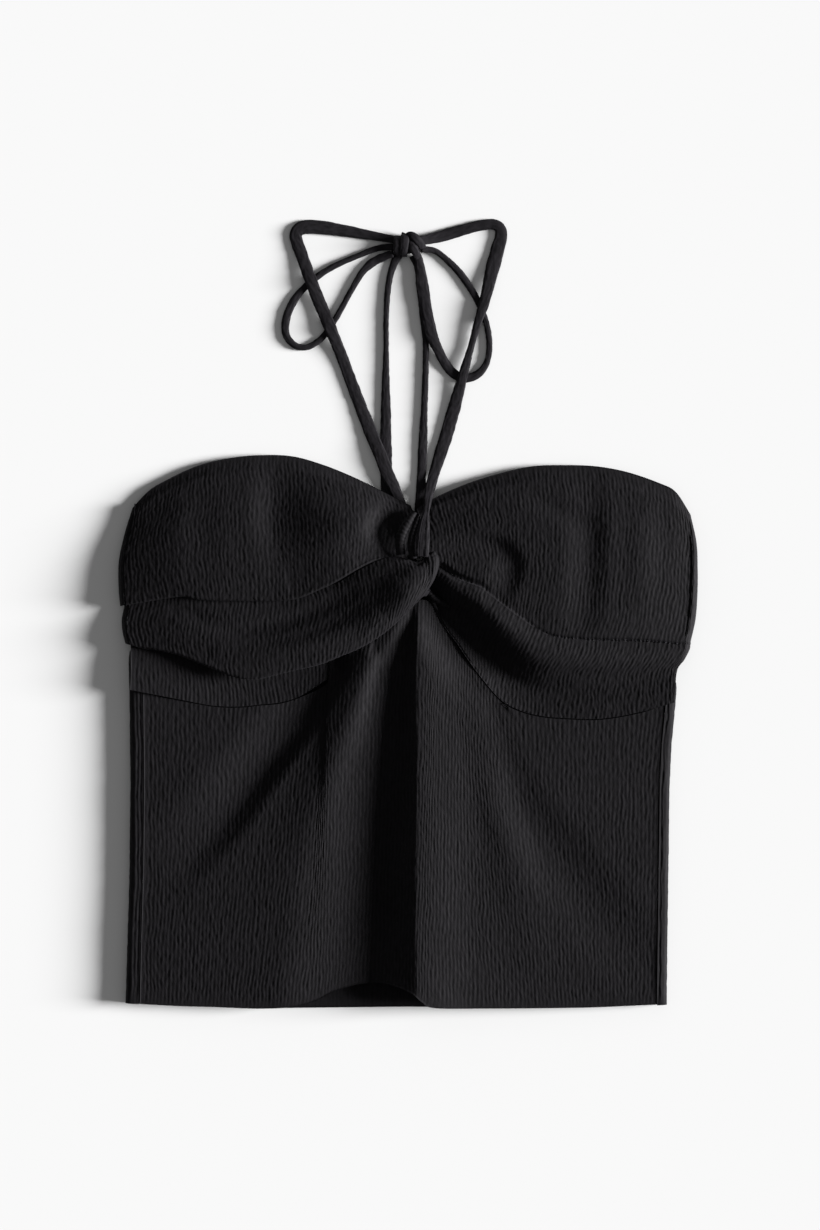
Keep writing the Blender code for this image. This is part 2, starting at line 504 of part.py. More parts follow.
def front_body(home, material):
    edges = (FRONT_TOP, FRONT_HEM, FRONT_LEFT_EDGE, FRONT_RIGHT_EDGE)
    # More columns stand at the groove, so that its crest stays sharp.
    left_shares = np.linspace(0, 0.42, 13)
    groove_shares = np.linspace(0.42, 0.58, 17)[1:]
    right_shares = np.linspace(0.58, 1, 13)[1:]
    shares = np.concatenate([left_shares, groove_shares, right_shares])
    grid = grooved(stretch(edges, FRONT_HEIGHTS, FRONT_FOLDS, shares, 18))
    grid = turned(grid, "top", 1.2, 80, steps=2)
    return grid_object("front_body", grid, home, material)


def bust_left(home, material):
    side = ((-181.9, 126.4), (-185.6, 108.5), (-185.6, 90.6))
    twist_end = ((5.2, 134.0), (5.6, 121.0))
    grid = stretch((NECK_LEFT, PLEAT_LEFT, side, twist_end), UPPER_LEFT_HEIGHTS, UPPER_LEFT_FOLDS, 22, 9)
    grid = turned(grid, "bottom", 1.4, 85, steps=2)
    grid = side_turned(grid, "left", 6.5)
    grid_object("bust_left_upper", grid, home, material)

    side = ((-182.0, 80.0), (-183.6, 72.0), (-183.2, 64.0))
    tongue = ((19.6, 110.0), (18.8, 103.0), (15.8, 95.5))
    grid = stretch((DRAPE_TOP, DRAPE_EDGE, side, tongue), DRAPE_HEIGHTS, DRAPE_FOLDS, DRAPE_COLUMNS, 7)
    column = np.arange(DRAPE_COLUMNS + 1)
    # The top edge is rolled more where it stands free of the cup, the lower edge away from the side.
    free = np.clip((column - 17) / 4, 0, 1)
    grid = turned(grid, "top", 0.5 + 1.4 * free, 75, steps=2)
    inward = np.clip((column - 1) / 4, 0, 1)
    grid = turned(grid, "bottom", 1.2 + 1.1 * inward, 30 + 135 * inward, 0.3 + 4.2 * inward)
    grid = side_turned(grid, "left", 6.0)
    grid_object("bust_left_drape", grid, home, material)

    side = ((-177.4, 50.0), (-177.2, 38.0))
    grid = stretch((BAND_TOP, SEAM_LEFT, side, ((-51.5, 41.0),)), BAND_HEIGHTS, (), 16, 3)
    grid = turned(grid, "bottom", 1.2, 80, steps=2)
    grid_object("bust_left_band", grid, home, material)


def bust_right(home, material):
    twist_end = ((10.0, 130.0), (12.4, 118.0))
    side = ((184.6, 122.0), (185.4, 108.0), (185.4, 90.6), (184.2, 72.6))
    upper = stretch((NECK_RIGHT, PLEAT_RIGHT, twist_end, side), UPPER_RIGHT_HEIGHTS, RIGHT_FOLDS, 24, 9)
    hollow = ((11.5, 99.0), (11.0, 91.0))
    side = ((180.2, 52.5), (176.6, 46.0), (172.2, 40.0), (170.8, 30.0))
    lower = stretch((PLEAT_RIGHT, SEAM_RIGHT, hollow, side), LOWER_RIGHT_HEIGHTS, RIGHT_FOLDS, 24, 10)
    # The pleat is a step down from the upper half's last line to the lower half's first one. It dies
    # out towards the twist, where both lines have one height.
    lower[:, 0, 1] -= PLEAT_STEP
    grid = np.concatenate([upper, lower], axis=1)
    grid = turned(grid, "bottom", 1.2, 80, steps=2)
    grid = side_turned(grid, "right", 6.0)
    return grid_object("bust_right_panel", grid, home, material)


def twist_hook(home, material):
    """An arched roll of cloth along a hooked route."""
    count = 13
    route = even_line(HOOK, np.linspace(0, 1, count))
    run = np.gradient(route[:, :2], axis=0)
    run /= np.linalg.norm(run, axis=1, keepdims=True)
    across = np.column_stack([-run[:, 1], run[:, 0]])
    angles = np.radians((-95, -60, -30, 0, 30, 60, 95))
    grid = np.zeros((count, len(angles), 3))
    for j, angle in enumerate(angles):
        grid[:, j, :2] = route[:, :2] + across * (route[:, 3:4] * np.sin(angle))
        grid[:, j, 2] = route[:, 2] - HOOK_DEPTH * (1 - np.cos(angle))
    return grid_object("twist_hook", grid[:, ::-1], home, material)


def tie(name, route, home, material):
    """A flat strip swept along its route and kept level. Where it is narrow it lies half on its side,
    so it is thicker there."""
    table = np.array(route)
    length = np.linalg.norm(np.diff(table[:, :2], axis=0), axis=1).sum()
    line = even_line(route, np.linspace(0, 1, int(length / TIE_SPACING) + 1))
    run = np.gradient(line[:, :3], axis=0)
    run /= np.linalg.norm(run, axis=1, keepdims=True)
    side = np.cross(run, (0.0, 0.0, 1.0))
    side /= np.linalg.norm(side, axis=1, keepdims=True)
    top = np.cross(side, run)
    angles = 2 * np.pi * (np.arange(TIE_CORNERS) + 0.5) / TIE_CORNERS
    half_width = TIE_WIDTH / 2 * line[:, 3]
    half_height = TIE_THICKNESS / 2 * (1 + TIE_THICKENING * np.clip(1 - line[:, 3], 0, 1))
    line[:, 2] = np.maximum(line[:, 2], half_height + TIE_CLEARANCE)
    # The corners stand out so that the flats between them are at the tie's full width and thickness.
    rings = []
    for a in angles:
        flat, high = np.cos(a) / np.cos(np.pi / TIE_CORNERS), np.sin(a) / np.cos(np.pi / TIE_CORNERS)
        rings.append(line[:, :3] + side * (half_width * flat)[:, None] + top * (half_height * high)[:, None])
    points = np.stack(rings, axis=1).reshape(-1, 3) * MM
    faces = []
    for i in range(len(line) - 1):
        for j in range(TIE_CORNERS):
            k = i * TIE_CORNERS + j
            after = i * TIE_CORNERS + (j + 1) % TIE_CORNERS
            faces.append((k, k + TIE_CORNERS, after + TIE_CORNERS, after))
    last = (len(line) - 1) * TIE_CORNERS
    faces.append(tuple(range(TIE_CORNERS)))
    faces.append(tuple(range(last, last + TIE_CORNERS))[::-1])
    mesh = bpy.data.meshes.new(name)
    mesh.from_pydata(points.tolist(), [], faces)
    mesh.update()
    mesh.materials.append(material)
    made = bpy.data.objects.new(name, mesh)
    home.objects.link(made)
    made.data.shade_smooth()
    return made


def tie_knot(home, material):
    """The bow's knot: a flattened ball with two upright wraps and one slanting wrap."""
    mesh = bpy.data.meshes.new("tie_knot")
    shape = bmesh.new()
    bmesh.ops.create_uvsphere(shape, u_segments=20, v_segments=12, radius=1.0)
    size = np.array(KNOT_SIZE) / 2
    for vertex in shape.verts:
        x, y, z = vertex.co
        slant = x * 0.8 - y * 0.6
        groove = np.exp(-(((slant - 0.05) / 0.16) ** 2)) + 0.8 * np.exp(-(((x + 0.42) / 0.12) ** 2))
        squeeze = 1 - 0.16 * groove * max(z, 0) ** 0.5
        place = np.array((x, y, z)) * size * squeeze + KNOT_CENTRE
        vertex.co = place * MM
    shape.to_mesh(mesh)
    shape.free()
    mesh.materials.append(material)
    mesh.shade_smooth()
    made = bpy.data.objects.new("tie_knot", mesh)
    home.objects.link(made)
    return made


def main():
    clear_scene()
    home = collection("twist_front_halter_top")
    back_body(home, cloth_material("back_cloth"))
    front_body(home, cloth_material("front_cloth"))
    bust = cloth_material("bust_cloth")
    bust_left(home, bust)
    bust_right(home, bust)
    twist_hook(home, bust)
    tie_cloth = cloth_material("tie_cloth")
    routes = {
        "tie_strap_left": STRAP_LEFT,
        "tie_strap_right": STRAP_RIGHT,
        "tie_loop_left": LOOP_LEFT,
        "tie_loop_right": LOOP_RIGHT,
        "tie_tail_left": TAIL_LEFT,
        "tie_tail_right": TAIL_RIGHT,
    }
    for name, route in routes.items():
        tie(name, route, home, tie_cloth)
    tie_knot(home, tie_cloth)


main()
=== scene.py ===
# %% [markdown]
# # A twist-front halter top in black crinkle cloth, laid flat
#
# This lesson dresses a solid model of a small summer top. The solids already have the right
# outline and thickness, so each step here makes one finished piece in the space of its solid:
# first the ties, then the panels of the body and the bust, then the twist between them.
# The model is in metres with +Z up, the neck towards +Y, and "left" means the viewer's left.

# %% Load the frame
from collections import namedtuple

import bpy
import numpy as np
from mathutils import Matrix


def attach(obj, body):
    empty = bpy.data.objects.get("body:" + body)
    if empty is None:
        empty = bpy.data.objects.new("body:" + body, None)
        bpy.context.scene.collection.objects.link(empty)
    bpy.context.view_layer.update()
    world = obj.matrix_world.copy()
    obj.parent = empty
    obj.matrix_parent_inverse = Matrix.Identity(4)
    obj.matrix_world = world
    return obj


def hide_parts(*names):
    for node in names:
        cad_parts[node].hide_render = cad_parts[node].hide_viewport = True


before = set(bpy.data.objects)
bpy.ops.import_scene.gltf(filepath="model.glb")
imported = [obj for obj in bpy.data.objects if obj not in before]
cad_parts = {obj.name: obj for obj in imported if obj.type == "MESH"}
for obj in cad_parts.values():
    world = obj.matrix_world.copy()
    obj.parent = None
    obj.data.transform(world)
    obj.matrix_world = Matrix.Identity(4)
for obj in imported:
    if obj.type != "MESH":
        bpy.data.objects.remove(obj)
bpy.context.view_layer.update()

MM = 0.001

# %% [markdown]
# ## The camera
#
# A product picture of a flat garment is taken from straight above with a long lens, so that its
# sides don't lean outwards. A camera object looks down its own -Z axis when it isn't turned, so it
# only needs a place. The lens is worked out from the height of cloth that the picture takes in.

# %% Camera straight above
VIEW_HEIGHT = 787.2  # millimetres of cloth from the picture's bottom edge to its top edge
VIEW_CENTRE = (1.1, 74.6)
CAMERA_HEIGHT = 3000.0
MEAN_CLOTH_HEIGHT = 6.0
SENSOR = 36.0

scene = bpy.context.scene
camera = bpy.data.objects.new("camera", bpy.data.cameras.new("camera"))
scene.collection.objects.link(camera)
camera.location = (VIEW_CENTRE[0] * MM, VIEW_CENTRE[1] * MM, CAMERA_HEIGHT * MM)
camera.data.sensor_width = SENSOR
camera.data.lens = SENSOR * (CAMERA_HEIGHT - MEAN_CLOTH_HEIGHT) / VIEW_HEIGHT
scene.camera = camera
print("lens:", round(camera.data.lens, 1), "mm")

# %% [markdown]
# ## Curves and grids
#
# Every piece starts from a short table, as a maker would chalk points on the cloth. Numpy turns a
# table into a smooth line, and two pairs of lines into a grid. The Catmull-Rom curve is chosen
# because it passes through each point of its table.

# %% Smooth lines
def spline(points, places):
    """Catmull-Rom curve through the points, read at the given places from 0 to 1 by point number."""
    p = np.array(points, float)
    p = np.vstack([2 * p[0] - p[1], p, 2 * p[-1] - p[-2]])
    spans = len(p) - 3
    place = np.clip(np.asarray(places, float), 0, 1) * spans
    k = np.minimum(place.astype(int), spans - 1)
    t = (place - k)[:, None]
    a, b, c, d = p[k], p[k + 1], p[k + 2], p[k + 3]
    return 0.5 * (2 * b + (c - a) * t + (2 * a - 5 * b + 4 * c - d) * t**2 + (3 * b - a - 3 * c + d) * t**3)


def even_line(points, count):
    """The smooth curve through the points, at count places evenly spaced along its length."""
    fine = spline(points, np.linspace(0, 1, 60 * len(points)))
    steps = np.linalg.norm(np.diff(fine[:, :2], axis=0), axis=1)
    along = np.concatenate([[0], np.cumsum(steps)])
    even = np.linspace(0, along[-1], count)
    return np.column_stack([np.interp(even, along, fine[:, k]) for k in range(fine.shape[1])])


def unit(vectors):
    return vectors / np.maximum(np.linalg.norm(vectors, axis=-1, keepdims=True), 1e-9)


def wave_noise(places, seed, waves=7):
    """Smooth numbers between about -1 and 1 along a line or over a plane, from a few seeded sines."""
    draw = np.random.default_rng(seed)
    places = np.atleast_2d(np.asarray(places, float).T).T
    total = np.zeros(places.shape[:-1])
    for _ in range(waves):
        direction = draw.normal(size=places.shape[-1])
        total += np.sin(places @ direction + draw.uniform(0, 2 * np.pi))
    return total / waves**0.5 / 1.4


print("a line of 3 points, read at 5:", even_line([(0, 0), (1, 1), (2, 0)], 5).round(2).tolist())

# %% [markdown]
# ## Node trees from Python
#
# A material and a Geometry Nodes modifier are both trees of nodes. This small class wraps one
# output socket, so that `a * 2 + b` adds the Math nodes by itself. The board adds any other node
# from its type, its settings and the values or links of its sockets.

# %% A class for sockets and one for trees
class Wire:
    """One output socket, on which the usual operators add Math nodes."""

    def __init__(self, board, socket):
        self.board = board
        self.socket = socket

    def math(self, operation, *others):
        return self.board.node("ShaderNodeMath", {"operation": operation}, dict(enumerate((self, *others))))

    def __add__(self, other):
        return self.math("ADD", other)

    def __sub__(self, other):
        return self.math("SUBTRACT", other)

    def __mul__(self, other):
        return self.math("MULTIPLY", other)

    def __truediv__(self, other):
        return self.math("DIVIDE", other)

    def __rsub__(self, other):
        return (self * -1) + other

    __radd__ = __add__
    __rmul__ = __mul__

    def cosine(self):
        return self.math("COSINE")

    def between(self, low, high):
        """0 below low, 1 above high, and smooth in between."""
        return self.board.node(
            "ShaderNodeMapRange",
            {"interpolation_type": "SMOOTHSTEP"},
            {"Value": self, "From Min": low, "From Max": high},
        )


class Board:
    """A node tree and the one method that adds nodes to it."""

    def __init__(self, tree):
        self.tree = tree

    def node(self, kind, settings=None, sockets=None, out=0):
        made = self.tree.nodes.new(kind)
        for name, value in (settings or {}).items():
            setattr(made, name, value)
        for name, value in (sockets or {}).items():
            if isinstance(value, Wire):
                self.tree.links.new(value.socket, made.inputs[name])
            else:
                made.inputs[name].default_value = value
        return Wire(self, made.outputs[out])

    def noise(self, place, detail=0.0):
        """Smooth noise around 0.5, one blob to a unit of place."""
        return self.node(
            "ShaderNodeTexNoise",
            {"noise_dimensions": "3D"},
            {"Vector": place, "Scale": 1.0, "Detail": detail, "Roughness": 0.5},
        )

    def vector(self, x, y, z):
        return self.node("ShaderNodeCombineXYZ", {}, {"X": x, "Y": y, "Z": z})


print("sockets take + - * and /")

# %% [markdown]
# ## The crinkle
#
# Crinkle crepe has fine ribs, about 2.6 mm apart, that run with the cloth and break up every few
# millimetres. They could be painted as a bump, but they show as real relief in the light, so a
# Geometry Nodes tree presses them into the surface. Each mesh carries an attribute that says how
# far across and along the cloth a point is, and the ribs follow that, not the world. The tree only
# presses inwards, so the cloth never grows past its solid.

# %% The rib tree
PLACE = "cloth_place"
RELIEF = "relief"
FIRMNESS = "rib_share"

tree = bpy.data.node_groups.new("crinkle_ribs", "GeometryNodeTree")
for kind, names in (
    ("Geometry", ("Geometry",)),
    ("Float", ("Rib spacing", "Rib length", "Rib depth", "Waver", "Broken", "Piece")),
    ("Material", ("Material",)),
):
    for name in names:
        tree.interface.new_socket(name, in_out="INPUT", socket_type="NodeSocket" + kind)
tree.interface.new_socket("Geometry", in_out="OUTPUT", socket_type="NodeSocketGeometry")

ribs = Board(tree)
inputs = tree.nodes.new("NodeGroupInput")
given = {socket.name: Wire(ribs, socket) for socket in inputs.outputs if socket.name}
place = ribs.node("GeometryNodeInputNamedAttribute", {"data_type": "FLOAT_VECTOR"}, {"Name": PLACE})
split = ribs.node("ShaderNodeSeparateXYZ", {}, {"Vector": place})
across = split
along = Wire(ribs, split.socket.node.outputs["Y"])
spacing, length, piece = given["Rib spacing"], given["Rib length"], given["Piece"]
# The ribs waver a little over two lengths, so that neighbours lean together but never run straight.
leans = []
for wide, long, lean, seed in ((9, 3.5, 2.4, 0), (3.5, 0.9, 0.8, 7)):
    waver_place = ribs.vector(across / (spacing * wide), along / (length * long), piece + seed)
    leans.append((ribs.noise(waver_place) - 0.5) * lean)
phase = across / spacing + given["Waver"] * (leans[0] + leans[1])
rib = (phase * (2 * np.pi)).cosine() * 0.5 + 0.5
# Short blobs, as wide as a rib and a few times as long, break the ribs up.
blobs = ribs.noise(ribs.vector(phase * 1.3, along / length, piece + 3), detail=1.0)
breaks = blobs.between(0.28, 0.72)
low = 1 - (rib * (1 - given["Broken"]) + breaks * given["Broken"])
firm = ribs.node("GeometryNodeInputNamedAttribute", {"data_type": "FLOAT"}, {"Name": FIRMNESS})
normal = ribs.node("GeometryNodeInputNormal")
depth = low * firm * given["Rib depth"] * -1
shift = ribs.node("ShaderNodeVectorMath", {"operation": "SCALE"}, {0: normal, "Scale": depth})
moved = ribs.node("GeometryNodeSetPosition", {}, {"Geometry": given["Geometry"], "Offset": shift})
# How low each point lies in the ribs is kept as the relief, from which the material paints shade into the
# grooves.
kept = ribs.node(
    "GeometryNodeStoreNamedAttribute",
    {"data_type": "FLOAT", "domain": "POINT"},
    {"Geometry": moved, "Name": RELIEF, "Value": low},
)
real = ribs.node("GeometryNodeRealizeInstances", {}, {"Geometry": kept})
done = ribs.node("GeometryNodeSetMaterial", {}, {"Geometry": real, "Material": given["Material"]})
tree.links.new(done.socket, tree.nodes.new("NodeGroupOutput").inputs[0])
print("rib tree:", len(tree.nodes), "nodes")

# %% [markdown]
# ## The cloth's finish
#
# The cloth is a matt black with a breath of violet. Black yarn swallows most of the light, so the
# base colour is very low and the specular level too, with a little sheen from the loose fibres.
# The grooves between the ribs are painted darker than their crests, as painted shade that deepens the
# relief's own. What is finer than the mesh, the loops of the yarn and the small pebbles on a rib, is a
# bump on the piece's own UV map, in millimetres.

# %% Crinkle cloth material
UV_NAME = "cloth_mm"
UV_UNIT = 10.0  # millimetres to one unit of the UV map
CREST = (0.0063, 0.0055, 0.0069, 1.0)
# Painted shade: the colour of the rib grooves, much darker than the crests.
GROOVE_PAINTED_SHADE = (0.0020, 0.0018, 0.0022, 1.0)
# Painted light: the ties and the knot get a lighter copy of the same cloth, for the light they catch, with
# painted shade in their grooves.
LIT_TIE_CREST = (0.0118, 0.0105, 0.0128, 1.0)
LIT_TIE_GROOVE_SHADE = (0.0038, 0.0034, 0.0042, 1.0)


def crinkle_cloth(name, crest=CREST, hollow=GROOVE_PAINTED_SHADE, pebble=0.00016):
    material = bpy.data.materials.new(name)
    material.use_nodes = True
    board = Board(material.node_tree)
    shader = material.node_tree.nodes["Principled BSDF"]
    shader.inputs["Metallic"].default_value = 0.0
    shader.inputs["Specular IOR Level"].default_value = 0.12
    shader.inputs["Sheen Weight"].default_value = 0.02
    shader.inputs["Sheen Roughness"].default_value = 0.45
    shader.inputs["Sheen Tint"].default_value = (0.93, 0.9, 1.0, 1.0)

    uv = board.node("ShaderNodeUVMap", {"uv_map": UV_NAME})
    halves = board.node("ShaderNodeSeparateXYZ", {}, {"Vector": uv})
    s = halves * UV_UNIT
    t = Wire(board, halves.socket.node.outputs["Y"]) * UV_UNIT
    pebbles = board.noise(board.vector(s / 0.95, t / 1.5, 0.0), detail=2.0)
    yarn = (s * (2 * np.pi / 0.55)).cosine() * (t * (2 * np.pi / 0.8)).cosine()
    cloudy = board.noise(board.vector(s / 26, t / 34, 4.0), detail=2.0)
    low_places = board.node("ShaderNodeAttribute", {"attribute_name": RELIEF}, out="Fac")

    # Painted shade in the rib grooves, mixed with the cloth's own random tone from the pebbles and the
    # clouds.
    groove_shade_and_tone = low_places * 0.72 + (pebbles - 0.5) * 0.55 + (cloudy - 0.5) * 0.3
    colour = board.node(
        "ShaderNodeMix",
        {"data_type": "RGBA"},
        {"Factor": groove_shade_and_tone.between(0.05, 0.85), 6: crest, 7: hollow},
        out=2,
    )
    height = pebbles + yarn * 0.1
    bump = board.node("ShaderNodeBump", {}, {"Strength": 0.8, "Distance": pebble, "Height": height})
    rough = (cloudy - 0.5) * 0.16 + low_places * 0.08 + 0.72
    for socket, value in (("Base Color", colour), ("Normal", bump), ("Roughness", rough)):
        material.node_tree.links.new(value.socket, shader.inputs[socket])
    return material


body_finish = crinkle_cloth("body_crinkle")
bust_finish = crinkle_cloth("bust_crinkle")
# The ties' cloth, painted lighter than the body's as painted light.
lit_tie_finish = crinkle_cloth("lit_tie_crinkle", crest=LIT_TIE_CREST, hollow=LIT_TIE_GROOVE_SHADE, pebble=0.00012)
print("cloth finishes:", body_finish.name, bust_finish.name, lit_tie_finish.name)

# %% [markdown]
# ## From a grid to a piece of cloth
#
# A panel is a fine grid of points for its outer face and a wall 1.5 mm thick below it. The face
# that nobody sees needs few faces, so the inner wall takes every fourth point only, and the rim
# joins the two. The ribs come from the tree above, whose result is turned into a plain mesh.

# %% Panels
CLOTH = 1.5
SEAM_GAP = 0.3
EDGE_LINES = 4  # how many lines of a grid the ribs take to fade out at an edge
EDGE_RIBS = 0.15  # what is left of their depth at the edge itself


def grid_normals(grid):
    """Unit normals of a grid that runs along the cloth first and down it second, facing up."""
    return unit(np.cross(np.gradient(grid, axis=1), np.gradient(grid, axis=0)))


def cloth_lengths(grid):
    """How far across and along the cloth each point of a grid lies, in millimetres."""
    steps_across = np.linalg.norm(np.diff(grid, axis=0), axis=-1).mean(axis=1)
    steps_along = np.linalg.norm(np.diff(grid, axis=1), axis=-1)
    s = np.concatenate([[0], np.cumsum(steps_across)])
    t = np.concatenate([np.zeros((len(grid), 1)), np.cumsum(steps_along, axis=1)], axis=1)
    return np.stack([np.broadcast_to(s[:, None], t.shape), t], axis=-1)


def grid_faces(columns, rows, start, flip):
    i, j = np.meshgrid(np.arange(columns - 1), np.arange(rows - 1), indexing="ij")
    k = (start + i * rows + j).ravel()
    faces = np.column_stack([k, k + 1, k + rows + 1, k + rows])
    return faces[:, ::-1] if flip else faces


def border(columns, rows, every=1):
    """Point numbers round a grid's edge, in order."""
    numbers = np.arange(columns * rows).reshape(columns, rows)
    sides = (numbers[::every, 0], numbers[-1, ::every], numbers[::-every, -1], numbers[0, ::-every])
    return np.concatenate([side[:-1] for side in sides])


def crinkled(made, spacing, length, depth, waver, broken, number, finish):
    """Runs the rib tree on an object and gives it the plain mesh that comes out."""
    modifier = made.modifiers.new("ribs", "NODES")
    modifier.node_group = tree
    values = {
        "Rib spacing": spacing, "Rib length": length, "Rib depth": depth * MM,
        "Waver": waver, "Broken": broken, "Piece": float(number), "Material": finish,
    }  # fmt: skip
    for item in tree.interface.items_tree:
        if item.in_out == "INPUT" and item.name in values:
            modifier[item.identifier] = values[item.name]
    graph = bpy.context.evaluated_depsgraph_get()
    mesh = bpy.data.meshes.new_from_object(made.evaluated_get(graph))
    made.modifiers.clear()
    made.data = mesh
    mesh.name = made.name
    mesh.shade_smooth()
    return made


def mesh_object(name, points, faces, places, firmness):
    """An object from points in millimetres, with its cloth places as an attribute and a UV map."""
    mesh = bpy.data.meshes.new(name)
    mesh.from_pydata((points * MM).tolist(), [], faces)
    mesh.update()
    flat = np.zeros((len(points), 3))
    flat[:, :2] = places
    mesh.attributes.new(PLACE, "FLOAT_VECTOR", "POINT").data.foreach_set("vector", flat.ravel())
    mesh.attributes.new(FIRMNESS, "FLOAT", "POINT").data.foreach_set("value", firmness)
    corner = np.empty(len(mesh.loops), np.int32)
    mesh.loops.foreach_get("vertex_index", corner)
    uv = mesh.uv_layers.new(name=UV_NAME)
    uv.data.foreach_set("uv", (places[corner] / UV_UNIT).ravel())
    made = bpy.data.objects.new(name, mesh)
    scene.collection.objects.link(made)
    return made


def panel(name, grid, finish, number, inner_every=4, thickness=CLOTH, **crinkle):
    """A closed piece of cloth: a fine outer face, a coarser inner face and the rim between them."""
    columns, rows = grid.shape[:2]
    places = cloth_lengths(grid)
    inner = (grid - grid_normals(grid) * thickness)[::inner_every, ::inner_every]
    inner_columns, inner_rows = inner.shape[:2]
    points = np.concatenate([grid.reshape(-1, 3), inner.reshape(-1, 3)])
    start = columns * rows
    faces = grid_faces(columns, rows, 0, False).tolist()
    faces += grid_faces(inner_columns, inner_rows, start, True).tolist()
    outer_edge = border(columns, rows)
    inner_edge = border(inner_columns, inner_rows) + start
    for k in range(len(inner_edge)):
        stretch_of_rim = outer_edge[np.arange(k * inner_every, (k + 1) * inner_every + 1) % len(outer_edge)]
        ends = inner_edge[[k, (k + 1) % len(inner_edge)]]
        faces.append([*stretch_of_rim[::-1].tolist(), *ends.tolist()])
    inner_places = places[::inner_every, ::inner_every]
    both = np.concatenate([places.reshape(-1, 2), inner_places.reshape(-1, 2)])
    # The ribs fade out at the edges, where the cloth is sewn down.
    to_side = np.minimum(np.arange(columns), np.arange(columns)[::-1]) / EDGE_LINES
    to_end = np.minimum(np.arange(rows), np.arange(rows)[::-1]) / EDGE_LINES
    firm = np.clip(np.minimum.outer(to_side, to_end), EDGE_RIBS, 1)
    inner_firm = firm[::inner_every, ::inner_every] * (1.0 if inner_every == 1 else 0.0)
    made = mesh_object(name, points, faces, both, np.concatenate([firm.ravel(), inner_firm.ravel()]))
    return crinkled(made, finish=finish, number=number, **{**RIBS, **crinkle})


RIBS = {"spacing": 2.6, "length": 5.0, "depth": 0.5, "waver": 0.42, "broken": 0.5}
print("ribs:", RIBS)

# %% [markdown]
# ## The ties
#
# The ties are narrow tubes of the same cloth, pressed flat. Two straps run from the bust up to the
# neck corners and into the knot of a bow, and the bow has two loops and two long tails. Each is a
# flat oval swept along its route. Where a tie turns on its side it looks narrow: there its section
# is narrower and rounder.

# %% Routes of the ties: x, y, height of the middle and share of the full width
STRAP_LEFT = (
    (-8.7, 315, 3.4, 0.6), (-18, 316.9, 1.5, 0.64), (-33.4, 319.6, 0.9, 0.82), (-50, 322.4, 0.9, 0.97),
    (-61.7, 323.5, 0.95, 1.08), (-68.8, 322.6, 1.1, 1.05), (-71.9, 319.2, 1.2, 1),
    (-71.2, 313.4, 1.1, 1), (-65.6, 297.8, 2.1, 1), (-61.7, 286.8, 3.3, 1), (-57.8, 277, 2.2, 1),
    (-54.1, 268.4, 2.3, 1), (-49.6, 257.4, 3.3, 1), (-45.3, 247, 2, 0.97), (-39.6, 232.2, 0.9, 0.95),
    (-31.9, 211.6, 0.9, 0.95), (-24.2, 192, 1.6, 1), (-18, 177.2, 2.9, 1), (-13.6, 165.8, 2.95, 1),
    (-9.8, 158, 2.8, 0.9), (-6.4, 150.5, 2.8, 0.8), (-3.4, 143, 3.6, 0.7),
)  # fmt: skip
STRAP_RIGHT = (
    (7.8, 314.4, 3.4, 0.7), (17.8, 316.5, 1.5, 0.85), (28, 319.4, 0.9, 0.94), (42.2, 323.4, 0.9, 0.87),
    (53, 325.2, 0.95, 0.85), (58.6, 322.8, 1.2, 0.9), (59.2, 316.6, 1, 1), (57.4, 309.4, 0.9, 1.1),
    (54, 297, 1.5, 1.1), (51.2, 285, 2.6, 0.96), (48.2, 273.4, 3, 0.8), (43.9, 260, 2.8, 0.58),
    (40.1, 246, 2.4, 0.5), (35.4, 229.6, 3, 0.75), (32, 217, 1.8, 0.94), (25, 192, 1, 1.08),
    (17.2, 167.4, 1.8, 0.9), (14.1, 156.4, 3.9, 0.8), (12.8, 150.6, 6.6, 0.66), (12, 145, 9.3, 0.52),
    (11.2, 139.4, 11.8, 0.5), (10.1, 132.4, 14.6, 0.85), (9.2, 125, 17.6, 1.08),
    (8.6, 117.4, 19.8, 1.15), (8.4, 112, 20.4, 1.05),
)  # fmt: skip
LOOP_LEFT = (
    (-9.1, 310.4, 2.8, 0.5), (-19, 309.8, 1.2, 0.44), (-32, 305.1, 0.9, 0.4), (-48, 298, 0.9, 0.42),
    (-58.5, 291.4, 0.9, 0.44), (-66, 284.9, 0.9, 0.48), (-73, 276.8, 0.9, 0.58), (-78, 265.6, 0.9, 0.64),
    (-78.6, 255.6, 0.9, 0.6), (-74.6, 248.8, 0.9, 0.52), (-67.4, 246, 0.9, 0.46),
    (-60.3, 248.4, 0.9, 0.46), (-54, 253.8, 0.9, 0.46), (-47.3, 263.4, 0.9, 0.46),
    (-41, 274.6, 0.9, 0.42), (-34.6, 286.2, 0.9, 0.44), (-28.6, 295.4, 0.9, 0.52),
    (-21.6, 301.4, 1, 0.64), (-13.4, 305, 2.4, 0.58), (-9.8, 306, 3.2, 0.5),
)  # fmt: skip
LOOP_RIGHT = (
    (8.3, 308.8, 2.6, 0.5), (17, 308, 1.3, 0.45), (26.8, 300.4, 0.9, 0.5), (35.6, 290.4, 0.9, 0.54),
    (44.8, 275.4, 0.9, 0.5), (50, 261.5, 0.9, 0.46), (52, 248, 0.9, 0.47), (50.4, 236.8, 0.9, 0.48),
    (45.4, 229.8, 0.9, 0.62), (38.6, 226.6, 0.9, 0.7), (31.6, 227.8, 0.9, 0.74),
    (25.4, 233.4, 1.2, 0.75), (19.3, 244, 2.2, 0.78), (14.4, 256, 2.8, 0.95), (11.6, 270, 2.8, 0.9),
    (9.2, 284, 2.8, 1.05), (8, 294, 2.8, 0.85), (7, 301, 3.3, 0.64), (6.4, 303.8, 3.7, 0.56),
)  # fmt: skip
